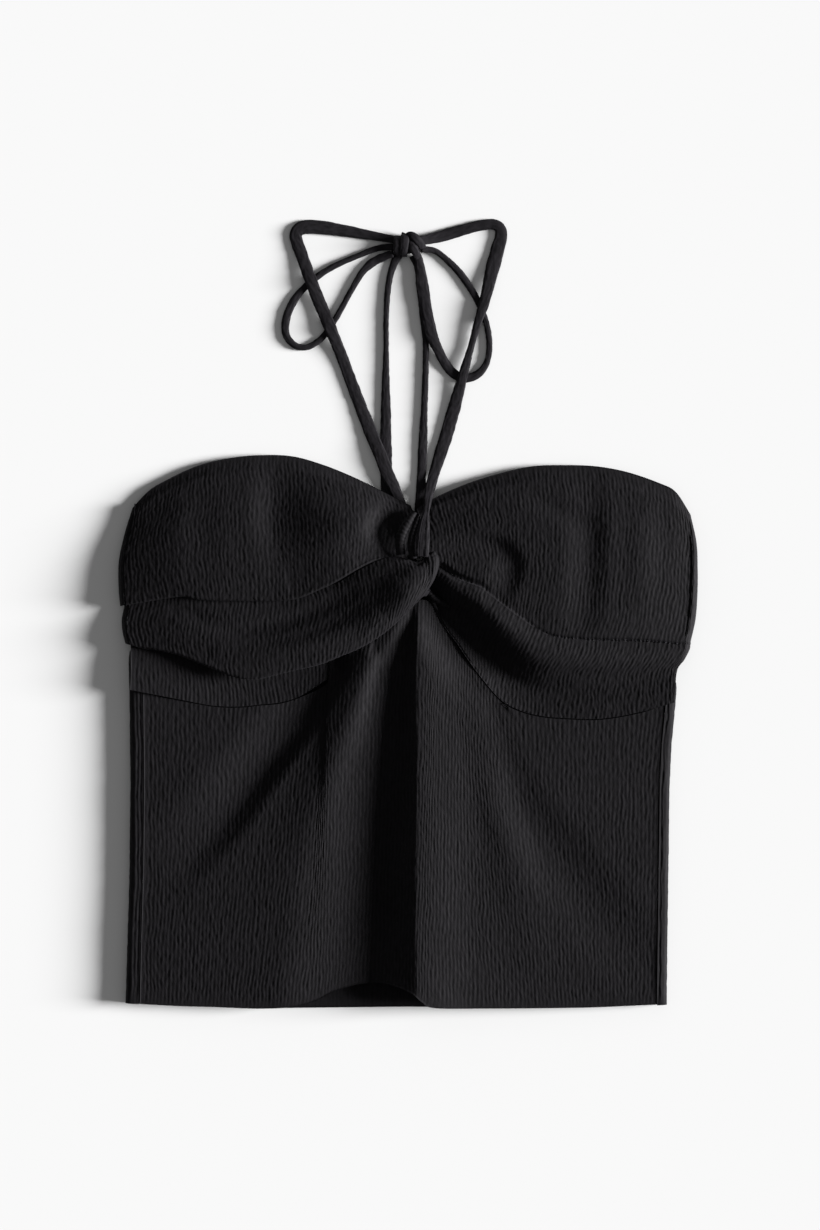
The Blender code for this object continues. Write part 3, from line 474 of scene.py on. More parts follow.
TAIL_LEFT = (
    (-5.4, 306, 1.8, 0.6), (-8.4, 301.6, 1.1, 0.62), (-11.6, 292.2, 0.9, 0.48), (-13.5, 279, 0.9, 0.42),
    (-14.2, 262, 0.9, 0.4), (-14.2, 244, 0.9, 0.42), (-14.4, 226, 0.9, 0.56), (-14.4, 208, 0.9, 0.76),
    (-14.4, 190, 0.9, 0.87), (-14.2, 168, 0.9, 0.92), (-13.6, 148, 0.9, 0.85), (-13, 130, 0.9, 0.8),
    (-12.6, 113, 0.9, 0.8),
)  # fmt: skip
TAIL_RIGHT = (
    (3, 305, 1.6, 0.6), (6.2, 298, 0.9, 0.62), (7.6, 286, 0.9, 0.52), (9.3, 268, 0.9, 0.5),
    (11.2, 248, 0.9, 0.45), (11, 228, 0.9, 0.45), (10.1, 205, 0.9, 0.53), (9.2, 180, 0.9, 0.7),
    (8.2, 158, 0.9, 0.74), (7.2, 140, 0.9, 0.8), (6.4, 113, 0.9, 0.8),
)  # fmt: skip
print("ties:", sum(map(len, (STRAP_LEFT, STRAP_RIGHT, LOOP_LEFT, LOOP_RIGHT))), "stops on straps and loops")

# %% One flat tie
TIE_WIDTH = 7.7
TIE_THICKNESS = 1.6
TIE_THICKENING = 0.35
RING_STEP = 1.0
RING_POINTS = 28
FACES_APART = 9.0  # between the places of the upper and the lower face, so that their ribs differ
UNEVEN_LENGTH, UNEVEN_SHARE = 9.0, 0.05  # how long and how large a tie's changes of width are
ABOVE_SURFACE = 0.03
# A tie's section is a superellipse: rounder at its edges than a box, and flatter on top than an ellipse.
TIE_ROUND = (0.85, 0.75)
FOLDS_ACROSS, FOLD_PHASE, FOLD_SINK = 3.4, 0.6, 0.6  # the lengthwise folds of a gathered tie
TIE_RIBS = {"spacing": 1.9, "length": 5.0, "depth": 0.42, "waver": 1.2, "broken": 0.55}


def length_of(line):
    return np.linalg.norm(np.diff(line, axis=0), axis=1).sum()


def swept(name, line, widths, thicknesses, finish, number, gathers=None, **crinkle):
    """A closed flat tube along a line, kept level, with lengthwise folds as deep as gathers says."""
    run = unit(np.gradient(line, axis=0))
    side = unit(np.cross(run, (0.0, 0.0, 1.0)))
    top = np.cross(side, run)
    angle = 2 * np.pi * np.arange(RING_POINTS) / RING_POINTS
    flat, high = np.cos(angle), np.sin(angle)
    flat = np.sign(flat) * np.abs(flat) ** TIE_ROUND[0]
    high = np.sign(high) * np.abs(high) ** TIE_ROUND[1]
    half_width = widths[:, None, None] / 2
    half_height = thicknesses[:, None, None] / 2 * np.ones((1, RING_POINTS, 1))
    if gathers is not None:
        upper = np.clip(high, 0, 1)
        folds = np.cos(flat * np.pi * FOLDS_ACROSS + FOLD_PHASE) * upper - FOLD_SINK * upper
        half_height = half_height + gathers[:, None, None] * folds[None, :, None]
    rings = line[:, None, :] + side[:, None, :] * half_width * flat[None, :, None]
    rings = rings + top[:, None, :] * half_height * high[None, :, None]
    count = len(line)
    points = np.concatenate([rings.reshape(-1, 3), line[:1], line[-1:]])
    i, j = np.meshgrid(np.arange(count - 1), np.arange(RING_POINTS), indexing="ij")
    k, after = i * RING_POINTS + j, i * RING_POINTS + (j + 1) % RING_POINTS
    faces = np.stack([k, after, after + RING_POINTS, k + RING_POINTS], axis=-1).reshape(-1, 4).tolist()
    first, last = count * RING_POINTS, count * RING_POINTS + 1
    base = (count - 1) * RING_POINTS
    for j in range(RING_POINTS):
        after = (j + 1) % RING_POINTS
        faces.append([first, after, j])
        faces.append([last, base + j, base + after])
    along = np.concatenate([[0], np.cumsum(np.linalg.norm(np.diff(line, axis=0), axis=1))])
    over = (flat * TIE_WIDTH / 2 + np.sign(high) * FACES_APART)[None, :]
    over = np.broadcast_to(over, (count, RING_POINTS))
    places = np.stack([over, np.broadcast_to(along[:, None], over.shape)], axis=-1).reshape(-1, 2)
    places = np.concatenate([places, [[0.0, 0.0]], [[0.0, along[-1]]]])
    made = mesh_object(name, points, faces, places, np.ones(len(points)))
    return crinkled(made, finish=finish, number=number, **{**TIE_RIBS, **crinkle})


def tie(name, node, route, number, slack, gathers=None):
    """One tie of the bow: its strip, swept along the route, in place of its solid. Slack is the seed of its
    small unevenness.
    """
    rough = np.array(route)
    count = int(length_of(rough[:, :3]) / RING_STEP) + 1
    stops = even_line(route, count)
    line, width = stops[:, :3], stops[:, 3]
    places = np.arange(count) * RING_STEP
    uneven = wave_noise(places[:, None] / UNEVEN_LENGTH, slack)
    widths = TIE_WIDTH * width * (1 + UNEVEN_SHARE * uneven)
    thicknesses = TIE_THICKNESS * (1 + TIE_THICKENING * np.clip(1 - width, 0, 1))
    line[:, 2] = np.maximum(line[:, 2], thicknesses / 2 + ABOVE_SURFACE)
    depth = None if gathers is None else gathers(line)
    made = swept(name, line, widths, thicknesses, lit_tie_finish, number, depth)
    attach(made, "root")
    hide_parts(node)
    print(name, "length in mm:", round(length_of(line), 1), "faces:", len(made.data.polygons))
    return made, line


def declare(line, held):
    (line[-1] * MM).tolist() if held == "end" else (line[0] * MM).tolist()
    ((line[::-1] if held == "end" else line) * MM).tolist()


GATHER_DEPTH, GATHER_START, GATHER_RUN = 0.42, 158.0, 30.0


def gathered_end(line):
    """The right strap is drawn into folds where it goes into the twist."""
    return GATHER_DEPTH * np.clip((GATHER_START - line[:, 1]) / GATHER_RUN, 0, 1)


# %% All the ties: route, seeds of the ribs and of the unevenness, width, far end, end that is held
for name, route, number, slack, share, far_end, held, gathers in (
    ("strap_left", STRAP_LEFT, 21, 1, 1.0, "object", "end", None),
    ("strap_right", STRAP_RIGHT, 22, 2, 1.0, "object", "end", gathered_end),
    ("loop_left", LOOP_LEFT, 23, 23, 0.75, "object", "start", None),
    ("loop_right", LOOP_RIGHT, 24, 24, 1.0, "object", "start", None),
    ("tail_left", TAIL_LEFT, 25, 25, 0.9, "bare", "start", None),
    ("tail_right", TAIL_RIGHT, 26, 26, 0.9, "bare", "start", None),
):
    made, line = tie(name, "tie_" + name, route, number, slack, gathers)
    declare(line, held)

# %% [markdown]
# ## The knot
#
# The knot is small, but its wraps catch the light: two upright turns side by side on the left, and
# one that comes over the top and slants down to the right. A ball with grooves would look carved,
# so each turn is its own flat strip round a core, and the core fills the middle.

# %% Knot of the bow: x, y, height of the middle, width and thickness along each turn
KNOT_CENTRE = np.array((-0.6, 311.6, 3.9))
KNOT_HALF = np.array((8.8, 7.0, 3.7))
CORE_SHARE = (0.92, 0.86, 0.8)
KNOT_RIB_DEPTH = 0.3
KNOT_TURNS = {
    "knot_turn_outer": (
        (-7.4, 307, 0.9, 4.2, 1.6), (-7.4, 305.6, 2.8, 4.4, 1.6), (-7.2, 307.4, 5.6, 4.6, 1.7),
        (-7, 311.4, 6.6, 4.8, 1.8), (-6.8, 315, 5.6, 4.6, 1.7), (-6.6, 317, 2.8, 4.2, 1.6),
        (-6.6, 315.8, 0.9, 4, 1.6),
    ),
    "knot_turn_middle": (
        (-3.2, 306, 0.9, 4.6, 1.6), (-3.2, 304.9, 2.8, 4.8, 1.7), (-3.1, 307, 6.2, 5, 1.8),
        (-2.6, 311.6, 7.3, 5.2, 1.9), (-2.2, 316, 6.2, 5, 1.8), (-2.2, 318.2, 3, 4.8, 1.7),
        (-2.2, 317, 0.9, 4.6, 1.6),
    ),
    "knot_turn_over": (
        (-1, 317, 5, 4, 1.7), (2.2, 317.4, 6, 4.8, 1.9), (5.6, 314.8, 6.2, 5, 1.9),
        (8.2, 311.6, 4.6, 4.8, 1.8), (9.6, 309.4, 2.4, 4.2, 1.6),
    ),
    "knot_turn_slanting": (
        (0.8, 312.8, 5.6, 4.2, 1.7), (2.6, 309.6, 6.8, 4.8, 1.9), (5, 306, 6.2, 4.8, 1.9),
        (6.6, 303.4, 4.6, 4.4, 1.7),
    ),
}  # fmt: skip


def ball(name, centre, half, finish, number):
    """A flattened ball from rings, with its places measured round it."""
    segments, rings = 48, 24
    polar = np.pi * np.arange(1, rings) / rings
    round_it = 2 * np.pi * np.arange(segments) / segments
    spots = [centre + half * (0, 0, 1)]
    for p in polar:
        flat = np.sin(p) * np.array([np.cos(round_it), np.sin(round_it)])
        spots.extend(centre + half * np.column_stack([*flat, np.full(segments, np.cos(p))]))
    spots.append(centre - half * (0, 0, 1))
    points = np.array(spots)
    faces = []
    last = len(points) - 1
    for j in range(segments):
        after = (j + 1) % segments
        faces.append([0, 1 + j, 1 + after])
        faces.append([last, last - segments + after, last - segments + j])
        for i in range(rings - 2):
            k, k_after = 1 + i * segments + j, 1 + i * segments + after
            faces.append([k, k + segments, k_after + segments, k_after])
    made = mesh_object(name, points, faces, points[:, :2], np.ones(len(points)))
    return crinkled(made, finish=finish, number=number, **TIE_RIBS)


knot_pieces = [ball("knot_core", KNOT_CENTRE, KNOT_HALF * CORE_SHARE, lit_tie_finish, 30)]
for number, (name, turns) in enumerate(KNOT_TURNS.items()):
    stops = even_line(turns, 40)
    line, widths, thicknesses = stops[:, :3], stops[:, 3], stops[:, 4]
    knot_pieces.append(swept(name, line, widths, thicknesses, lit_tie_finish, 31 + number, depth=KNOT_RIB_DEPTH))
for made in knot_pieces:
    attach(made, "root")
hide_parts("tie_knot")
print("knot pieces:", [made.name for made in knot_pieces])

# %% [markdown]
# ## Stretches of cloth
#
# A stretch is a Coons patch: a grid that fits between four drawn edges. Its height comes from
# a small table, and its folds from a table of routes, each of which lifts or lowers the cloth
# along it and fades to both sides. The broad folds are the solids' own, and the small creases that
# a solid leaves out are added here by the same rule.

# %% Helpers for a stretch
Height = namedtuple("Height", "share first second third fourth fifth")
Fold = namedtuple("Fold", "route lift left right")


def plan(top, bottom, left, right, columns, rows):
    """Coons patch between four edges: x and y of a stretch, columns along it and rows down it."""
    across = np.linspace(0, 1, columns + 1)[:, None, None]
    down = np.linspace(0, 1, rows + 1)[None, :, None]
    upper = even_line(top, columns + 1)[:, None, :]
    lower = even_line(bottom, columns + 1)[:, None, :]
    first = even_line((top[0], *left, bottom[0]), rows + 1)[None, :, :]
    last = even_line((top[-1], *right, bottom[-1]), rows + 1)[None, :, :]
    ruled = (1 - down) * upper + down * lower + (1 - across) * first + across * last
    near = (1 - down) * upper[:1] + down * lower[:1]
    far = (1 - down) * upper[-1:] + down * lower[-1:]
    return ruled - (1 - across) * near - across * far


def heights(table, columns, rows):
    """Smooth heights over a stretch, from a table of heights at shares of the way down it."""
    values = np.array([row[1:] for row in table])
    shares = np.array([row.share for row in table])
    places = np.interp(np.linspace(0, 1, rows + 1), shares, np.linspace(0, 1, len(shares)))
    down = spline(values, places)
    return spline(down.T, np.linspace(0, 1, columns + 1))


def fold_lift(xy, fold):
    """How far one fold lifts or lowers each point of a stretch."""
    route = even_line(fold.route, 90)
    ends = np.concatenate([route.min(axis=0), route.max(axis=0)])
    reach_most = max(*fold.left, *fold.right)
    lift = np.zeros(xy.shape[:-1])
    near = ((xy > ends[:2] - reach_most) & (xy < ends[2:] + reach_most)).all(axis=-1)
    spots = xy[near]
    away = spots[:, None, :] - route
    nearest = np.argmin((away**2).sum(-1), axis=-1)
    along = nearest / (len(route) - 1)
    offset = away[np.arange(len(spots)), nearest]
    run = np.gradient(route, axis=0)[nearest]
    side = np.sign(run[:, 0] * offset[:, 1] - run[:, 1] * offset[:, 0])
    left = fold.left[0] + (fold.left[1] - fold.left[0]) * along
    right = fold.right[0] + (fold.right[1] - fold.right[0]) * along
    reach = np.where(side > 0, right, left)
    share = np.clip(np.linalg.norm(offset, axis=-1) / reach, 0, 1)
    lift[near] = spline(np.array(fold.lift)[:, None], along)[:, 0] * (1 + np.cos(np.pi * share)) / 2
    return lift


def stretch(edges, table, folds, columns, rows):
    """Grid of points, in millimetres, for one stretch of cloth."""
    xy = plan(*edges, columns, rows)
    z = heights(table, columns, rows)
    for fold in folds:
        z = z + fold_lift(xy, fold)
    return np.concatenate([xy, z[..., None]], axis=-1)


def drawn_in(lines, reach, count):
    """The lines with the last few drawn in by the reach, and the level direction out over the edge."""
    outward = lines[-1] - lines[-1 - count]
    outward[..., 2] = 0
    outward = unit(outward)
    ease = np.linspace(0, 1, count + 1)[1:, None, None]
    lines = lines.copy()
    lines[-count:] = lines[-count:] - outward * reach * ease
    return lines, outward


def turned(grid, side, radius, degrees, tuck=0.0, steps=6):
    """The grid with its edge turned down: an arc, then a straight tuck along the arc's end."""
    axis, start = {"bottom": (1, False), "top": (1, True), "right": (0, False)}[side]
    lines = np.moveaxis(grid, axis, 0)
    if start:
        lines = lines[::-1]
    spacing = max(np.linalg.norm(lines[-1] - lines[-2], axis=-1).mean(), 0.1)
    inner_line = max(2, round(max(3.0, 2.4 * np.max(radius)) / spacing))
    radius = np.broadcast_to(np.asarray(radius, float), lines.shape[1:2])[:, None]
    angle = np.broadcast_to(np.radians(degrees), lines.shape[1:2])[:, None]
    tuck = np.broadcast_to(np.asarray(tuck, float), lines.shape[1:2])[:, None]
    up = np.array([0.0, 0.0, 1.0])
    # The arc's outermost line stays on the drawn edge, so the edge first draws in by the radius.
    lines, outward = drawn_in(lines, radius * np.sin(np.minimum(angle, np.pi / 2)), inner_line)
    extra = []
    for step in range(1, steps + 1):
        a = angle * step / steps
        extra.append(lines[-1] + outward * radius * np.sin(a) - up * radius * (1 - np.cos(a)))
    if tuck.max() > 0:
        for share in (0.25, 0.5, 0.75, 1.0):
            extra.append(extra[steps - 1] + share * tuck * (outward * np.cos(angle) - up * np.sin(angle)))
    lines = np.concatenate([lines, np.array(extra)])
    if start:
        lines = lines[::-1]
    return np.moveaxis(lines, 0, axis)


SEAM_TURN, SEAM_DEGREES = 0.35, 70  # how small and how far a seam's edge is rolled
SIDE_TOP = 8.0
BUST_SIDE_TOP = 4.2
PRESS_START = 40.0
PRESS_RUN = 22.0
SIDE_FLOOR = 2.2
COVER_START = 44.0
COVER_RUN = 10.0


def side_turned(grid, side, reach, steps=10):
    """The grid with its side edge rounded down to just above what it lies on."""
    lines = grid if side == "right" else grid[::-1]
    inner_line = max(2, round(reach / max(np.linalg.norm(lines[-1] - lines[-2], axis=-1).mean(), 0.1)))
    lines, outward = drawn_in(lines, reach, inner_line)
    over_fold = SIDE_TOP + CLOTH + SEAM_GAP
    clear_of_fold = np.clip((lines[-1][:, 1] - COVER_START) / COVER_RUN, 0, 1)
    floor = over_fold + (SIDE_FLOOR - over_fold) * clear_of_fold
    drop = np.maximum(lines[-1][:, 2] - floor, 0.1)[:, None] * np.array([0.0, 0.0, 1.0])
    extra = []
    for step in range(1, steps + 1):
        a = 0.5 * np.pi * step / steps
        extra.append(lines[-1] + outward * reach * np.sin(a) - drop * (1 - np.cos(a)))
    lines = np.concatenate([lines, np.array(extra)])
    return lines if side == "right" else lines[::-1]


def trimmed(grid, every):
    """The grid without the few last lines that don't fill a step of the inner wall."""
    columns = (grid.shape[0] - 1) // every * every + 1
    rows = (grid.shape[1] - 1) // every * every + 1
    keep_columns = np.round(np.linspace(0, grid.shape[0] - 1, columns)).astype(int)
    keep_rows = np.round(np.linspace(0, grid.shape[1] - 1, rows)).astype(int)
    return grid[keep_columns][:, keep_rows]


def flat_area(grid):
    """Area of a grid's face in square metres, as it would be cut from flat cloth."""
    a = grid[1:, 1:] - grid[:-1, :-1]
    b = grid[1:, :-1] - grid[:-1, 1:]
    return np.linalg.norm(np.cross(a, b), axis=-1).sum() / 2 * MM * MM


def cloth_piece(name, grid, finish, number, nodes, slot, rests_on, **settings):
    """A finished panel: its mesh, what it stands for, and the size of its flat cut."""
    every = settings.get("inner_every", 4)
    grid = trimmed(grid, every)
    made = panel(name, grid, finish, number, **settings)
    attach(made, "root")
    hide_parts(*nodes)
    spans = [length_of(line) for line in (grid[:, grid.shape[1] // 2], grid[grid.shape[0] // 2])]
    area = flat_area(grid)
    size = f"about {spans[0]:.0f} x {spans[1]:.0f} mm, {area * 1e4:.0f} cm2"
    print(f"{name}: {len(made.data.polygons)} faces, {size}")


print("stretches are ready")

# %% [markdown]
# ## The back
#
# The back lies flat on the surface. Its sides fold up and over to the side seams, so from above
# only two narrow strips of it show, with a little of its inside at the arch of the front hem.
# It is one section, swept down the body: a strip, a half turn, the flat part, and the same again.

# %% Back body
BODY_LEFT = (
    (105, -178.6), (43, -179.2), (19, -178.7), (-31, -178.1), (-89, -178.7), (-133, -180),
    (-174, -181.2),
)  # fmt: skip
BODY_RIGHT = (
    (105, 172.6), (43, 173), (19, 171.4), (-8, 168.8), (-35, 167.5), (-101, 166.6), (-175, 165.6),
)  # fmt: skip
HEM = (
    (-182, -173.8), (-146, -175.7), (-95, -177.4), (-58, -177), (0, -176.4), (60, -177), (120, -176.6),
    (166, -174.8),
)  # fmt: skip
SIDE_INSET = 5.0
INSET_START_LEFT = 50.0
INSET_START_RIGHT = 30.0
INSET_RUN = 12.0
BACK_TOP_Y = 105.0
SEAM_IN_LEFT = 9.0
SEAM_IN_RIGHT = 6.5


def body_edge(table, y):
    """x of the body's side at a height y."""
    upwards = table[::-1]
    return np.interp(y, [row[0] for row in upwards], [row[1] for row in upwards])


def side_height(y):
    """Height of the folded side at a height y: it is pressed lower under the bust."""
    return SIDE_TOP + (BUST_SIDE_TOP - SIDE_TOP) * np.clip((y - PRESS_START) / PRESS_RUN, 0, 1)


BACK_ROWS, BACK_STEP, BACK_FLAT = 124, 1.05, 340


def back_grid(rows, across_step):
    side_hem = HEM[0][1]
    turn_steps = 14
    flap_steps = 12
    flat_columns = int(BACK_FLAT / across_step)
    sections = []
    for share in np.linspace(0, 1, rows + 1):
        y = BACK_TOP_Y + share * (side_hem - BACK_TOP_Y)
        side_top = side_height(y)
        radius = side_top / 2
        x_left = body_edge(BODY_LEFT, y) + SIDE_INSET * np.clip((y - INSET_START_LEFT) / INSET_RUN, 0, 1)
        x_right = body_edge(BODY_RIGHT, y) - SIDE_INSET * np.clip((y - INSET_START_RIGHT) / INSET_RUN, 0, 1)
        turn = np.pi * np.arange(turn_steps + 1) / turn_steps
        left_turn = [(x_left + radius * (1 - np.sin(a)), radius * (1 + np.cos(a))) for a in turn]
        right_turn = [(x_right - radius * (1 - np.sin(a)), radius * (1 + np.cos(a))) for a in turn[::-1]]
        between = np.linspace(x_left + radius, x_right - radius, flat_columns + 1)[1:-1]
        flap_left = np.linspace(x_left + SEAM_IN_LEFT, x_left + radius, flap_steps + 1)[:-1]
        flap_right = np.linspace(x_right - radius, x_right - SEAM_IN_RIGHT, flap_steps + 1)[1:]
        section = [(x, side_top) for x in flap_left] + left_turn + [(x, 0.0) for x in between]
        section += right_turn + [(x, side_top) for x in flap_right]
        dip = np.interp([x for x, _ in section], [x for x, _ in HEM], [hem_y - side_hem for _, hem_y in HEM])
        sections.append([(x, y + share * drop, z) for (x, z), drop in zip(section, dip)])
    return np.swapaxes(np.array(sections), 0, 1)[::-1]


cloth_piece(
    "back_panel", back_grid(BACK_ROWS, BACK_STEP), body_finish, 1, ["back_body"], "body_cloth", [],
    inner_every=1,
)  # fmt: skip

# %% [markdown]
# ## The front of the body
#
# One panel hangs from the bust seams and runs up to a peak under the twist. A deep groove falls
# from that peak, and soft troughs fan out from it on both sides. Its ribs run from the seams down
# to the hem, so they fan as well. The hem lifts in an arch at the groove.

# %% Front body
FRONT_TOP = (
    (-169.2, 25.6), (-158.9, 22.4), (-146.1, 19.9), (-125, 16), (-107.7, 15.4), (-94.9, 16.7),
    (-82.1, 17.9), (-69.3, 21.8), (-54, 29.2), (-51.2, 33.8), (-50.8, 42), (-49.4, 49.6), (-38, 55.6),
    (-26, 61), (-15.5, 67.6), (-5.9, 75), (1.6, 80.6), (8.5, 84.4), (14.4, 81.6), (21, 68.7),
    (30.6, 55.7), (37, 46.1), (46.6, 33.3), (59, 19.4), (71.7, 12.7), (84.3, 9.5), (97.1, 8.2),
    (122.7, 7.6), (148.3, 11.9), (163.8, 17.2),
)  # fmt: skip
FRONT_HEM = (
    (-171.6, -174.2), (-146.1, -175.5), (-125.6, -176), (-94.9, -177), (-72, -175.6), (-57.8, -171.4),
    (-48.8, -166.7), (-41.1, -164.2), (-30.9, -161.6), (-18.1, -160.6), (-7.8, -162.6), (2.4, -166.9),
    (9, -172.4), (18, -176.2), (58.7, -176.8), (99.7, -176.6), (120.2, -176.2), (158.5, -174.6),
)  # fmt: skip
FRONT_LEFT_EDGE = ((-169.4, 19.0), (-168.9, -31.0), (-169.5, -89.0), (-170.7, -133.0))
FRONT_RIGHT_EDGE = ((161.9, -8.0), (160.5, -35.0), (159.6, -101.0))
FRONT_HEIGHTS = (
    Height(0.00, 8.1, 8.2, 12.2, 10.4, 8.1),
    Height(0.10, 8.1, 9.4, 13.6, 10.8, 8.2),
    Height(0.45, 8.0, 10.8, 15.4, 11.2, 8.1),
    Height(0.85, 8.0, 10.8, 15.4, 10.8, 8.0),
    Height(1.00, 8.0, 10.4, 15.4, 10.4, 8.0),
)
FRONT_FOLDS = (
    Fold(
        ((-46, 42), (-64, 12), (-91, -22), (-118, -58), (-154, -96)),
        (-3.0, -3.9, -0.4), (28, 38), (12, 18),
    ),
    Fold(((-26, 46), (-38, 4), (-58, -45), (-84, -100)), (2.2, 1.0, 0.2), (16, 26), (10, 22)),
    Fold(
        ((52, -5), (66, -38), (92, -76), (124, -118), (152, -150)),
        (-0.6, -2.0, -0.6), (20, 32), (20, 32),
    ),
    Fold(((36, 30), (52, -20), (66, -80), (80, -140)), (0.3, 1.2, 0.3), (14, 22), (14, 22)),
    Fold(((14, 86), (24, 64), (36, 47), (53, 27)), (-3.6, -6.0, -1.4), (20, 26), (12, 12)),
)

# The groove down the middle: at each height its lowest line, the sharp crest on its right, how far the
# crest stands up, how far the lowest line sinks, and how far to the left the cloth takes to come up again
Groove = namedtuple("Groove", "y bottom crest rise depth ease")
GROOVE = (
    Groove(84, 4, 7, 0.2, 0.4, 5), Groove(60, -1, 5.6, 1.6, 3.4, 12), Groove(39, -4.6, 5, 2.4, 5, 24),
    Groove(14, -6, 5, 2.6, 6.2, 34), Groove(-18, -10, 5.4, 2.6, 7.6, 44),
    Groove(-57, -14, 5.2, 2.6, 8.8, 52), Groove(-108, -20.6, 4.4, 2.8, 8.8, 58),
    Groove(-156, -25, 5, 3.2, 8.2, 60), Groove(-178, -27, 5, 3.4, 8, 60),
)  # fmt: skip
CREST_RUN = 40.0  # how far to the right the crest takes to level out


def grooved(grid):
    """The front's grid with the groove down its middle."""
    upwards = np.array(GROOVE[::-1])
    x, y = grid[..., 0], grid[..., 1]
    bottom, crest, rise, depth, ease = (np.interp(y, upwards[:, 0], upwards[:, k]) for k in range(1, 6))
    up_the_face = np.clip((x - bottom) / (crest - bottom), 0, 1)
    back_up = (1 + np.cos(np.pi * np.clip((bottom - x) / ease, 0, 1))) / 2
    level_out = (1 + np.cos(np.pi * np.clip((x - crest) / CREST_RUN, 0, 1))) / 2
    grid = grid.copy()
    grid[..., 2] += rise * up_the_face * level_out - depth * np.where(x > bottom, 1 - up_the_face, back_up)
    return grid


front_edges = (FRONT_TOP, FRONT_HEM, FRONT_LEFT_EDGE, FRONT_RIGHT_EDGE)
front_grid = grooved(stretch(front_edges, FRONT_HEIGHTS, FRONT_FOLDS, columns=520, rows=150))
front_grid = turned(front_grid, "top", SEAM_TURN, SEAM_DEGREES)
cloth_piece("front_panel", front_grid, body_finish, 2, ["front_body"], "body_cloth", ["back_panel"])

# %% [markdown]
# ## The left bust
#
# The left bust is three stretches: the smooth cup, a soft drape that starts under a pleat and
# swings up into the twist, and a flat band between the drape and the seam below.

# %% Left cup
NECK_LEFT = (
    (-176.8, 143), (-166.6, 153.9), (-156.3, 160.3), (-135.8, 169.9), (-115.4, 175), (-94.9, 177),
    (-74.4, 176.3), (-53.9, 170.6), (-33.4, 162.2), (-13, 152), (1.6, 144.6),
)  # fmt: skip
PLEAT_LEFT = (
    (-184.6, 80.3), (-171.7, 82.2), (-146.1, 86.1), (-133.3, 84.2), (-107.7, 83.5), (-82.1, 83.5),
    (-69.3, 85.4), (-56.5, 90.6), (-46.2, 95.4), (-30.9, 104.4), (-19, 109.6), (-6, 110), (4.6, 107.4),
)  # fmt: skip
UPPER_LEFT_HEIGHTS = (
    Height(0.00, 3.8, 3.4, 3.4, 3.8, 7.0),
    Height(0.10, 5.2, 7.0, 7.2, 8.4, 7.6),
    Height(0.45, 7.4, 12.8, 13.6, 15.8, 9.0),
    Height(0.85, 9.6, 15.2, 16.2, 17.8, 10.8),
    Height(1.00, 10.5, 15.6, 16.8, 18.8, 12.2),
)
UPPER_LEFT_FOLDS = (
    Fold(((-84, 168), (-85, 138), (-80, 110)), (-0.8, -3.0, -0.8), (18, 20), (34, 36)),
    Fold(((-32, 146), (-34, 130), (-34, 118)), (0.4, 1.4, 0.2), (26, 28), (12, 12)),
    Fold(((-12, 144), (-15, 130), (-16, 119)), (-1.2, -3.8, -0.8), (14, 14), (13, 13)),
    Fold(((-128, 160), (-132, 130), (-130, 102)), (0.0, -0.7, -0.2), (16, 18), (16, 18)),
)
CUP_RIBS = {"length": 4.2, "broken": 0.56, "waver": 0.6}

upper_side = ((-181.9, 126.4), (-185.6, 108.5), (-185.6, 90.6))
upper_twist_end = ((5.2, 134.0), (5.6, 121.0))
upper_edges = (NECK_LEFT, PLEAT_LEFT, upper_side, upper_twist_end)
upper_grid = stretch(upper_edges, UPPER_LEFT_HEIGHTS, UPPER_LEFT_FOLDS, columns=300, rows=72)
upper_grid = turned(upper_grid, "bottom", radius=1.4, degrees=85)
upper_grid = side_turned(upper_grid, "left", reach=3.4)
cloth_piece(
    "left_cup", upper_grid, bust_finish, 3, ["bust_left_upper"], "bust_cloth", ["back_panel"], **CUP_RIBS
)

# %% Left drape and band
DRAPE_TOP = (
    (-181.2, 87), (-171.7, 90), (-146.1, 94), (-133.3, 92), (-107.7, 91.5), (-82.1, 91.5), (-69.3, 91.6),
    (-56.5, 93), (-46.2, 94.9), (-30.9, 104.5), (-19, 110.2), (-9, 111.9), (-1, 110.5), (5, 108.6),
    (10.7, 111.5), (14, 115.4), (17.6, 115.8),
)  # fmt: skip
DRAPE_EDGE = (
    (-181.4, 56.6), (-171, 54.1), (-158.9, 51.5), (-146.1, 48.3), (-133.3, 43.2), (-120.5, 38.1),
    (-107.7, 33.8), (-94.9, 33.6), (-73.8, 38.7), (-56.5, 42.6), (-43.7, 47.7), (-30.2, 53.4),
    (-17.4, 61.1), (-5.9, 70.7), (1.1, 78), (10.1, 86.7),
)  # fmt: skip
DRAPE_HEIGHTS = (
    Height(0.00, 7.0, 11.4, 12.6, 15.4, 17.6),
    Height(0.18, 7.2, 12.2, 13.6, 17.2, 18.8),
    Height(0.48, 8.4, 14.4, 16.6, 18.8, 19.6),
    Height(0.74, 10.2, 16.2, 18.8, 20.8, 19.6),
    Height(1.00, 11.4, 16.6, 18.0, 19.6, 18.4),
)
DRAPE_FOLDS = (
    Fold(((-150, 78), (-112, 66), (-72, 72), (-36, 88)), (-0.4, -1.5, -0.6), (8, 8), (8, 8)),
    Fold(((-120, 52), (-86, 52), (-50, 62), (-14, 82)), (0.4, 1.0, 0.4), (9, 9), (8, 8)),
    Fold(((0, 109), (3, 98), (-3, 86), (-14, 74)), (0.6, 4.4, 1.6), (22, 26), (16, 16)),
)
DRAPE_SPANS = 28  # spans of the drape's solid along it, by which its turned edges are placed
ROLL_START, TUCK_START, TURN_RUN = 17, 1, 4
drape_side = ((-182.0, 80.0), (-183.6, 72.0), (-183.2, 64.0))
tongue = ((19.6, 110.0), (18.8, 103.0), (15.8, 95.5))
drape_columns = 340
drape_edges = (DRAPE_TOP, DRAPE_EDGE, drape_side, tongue)
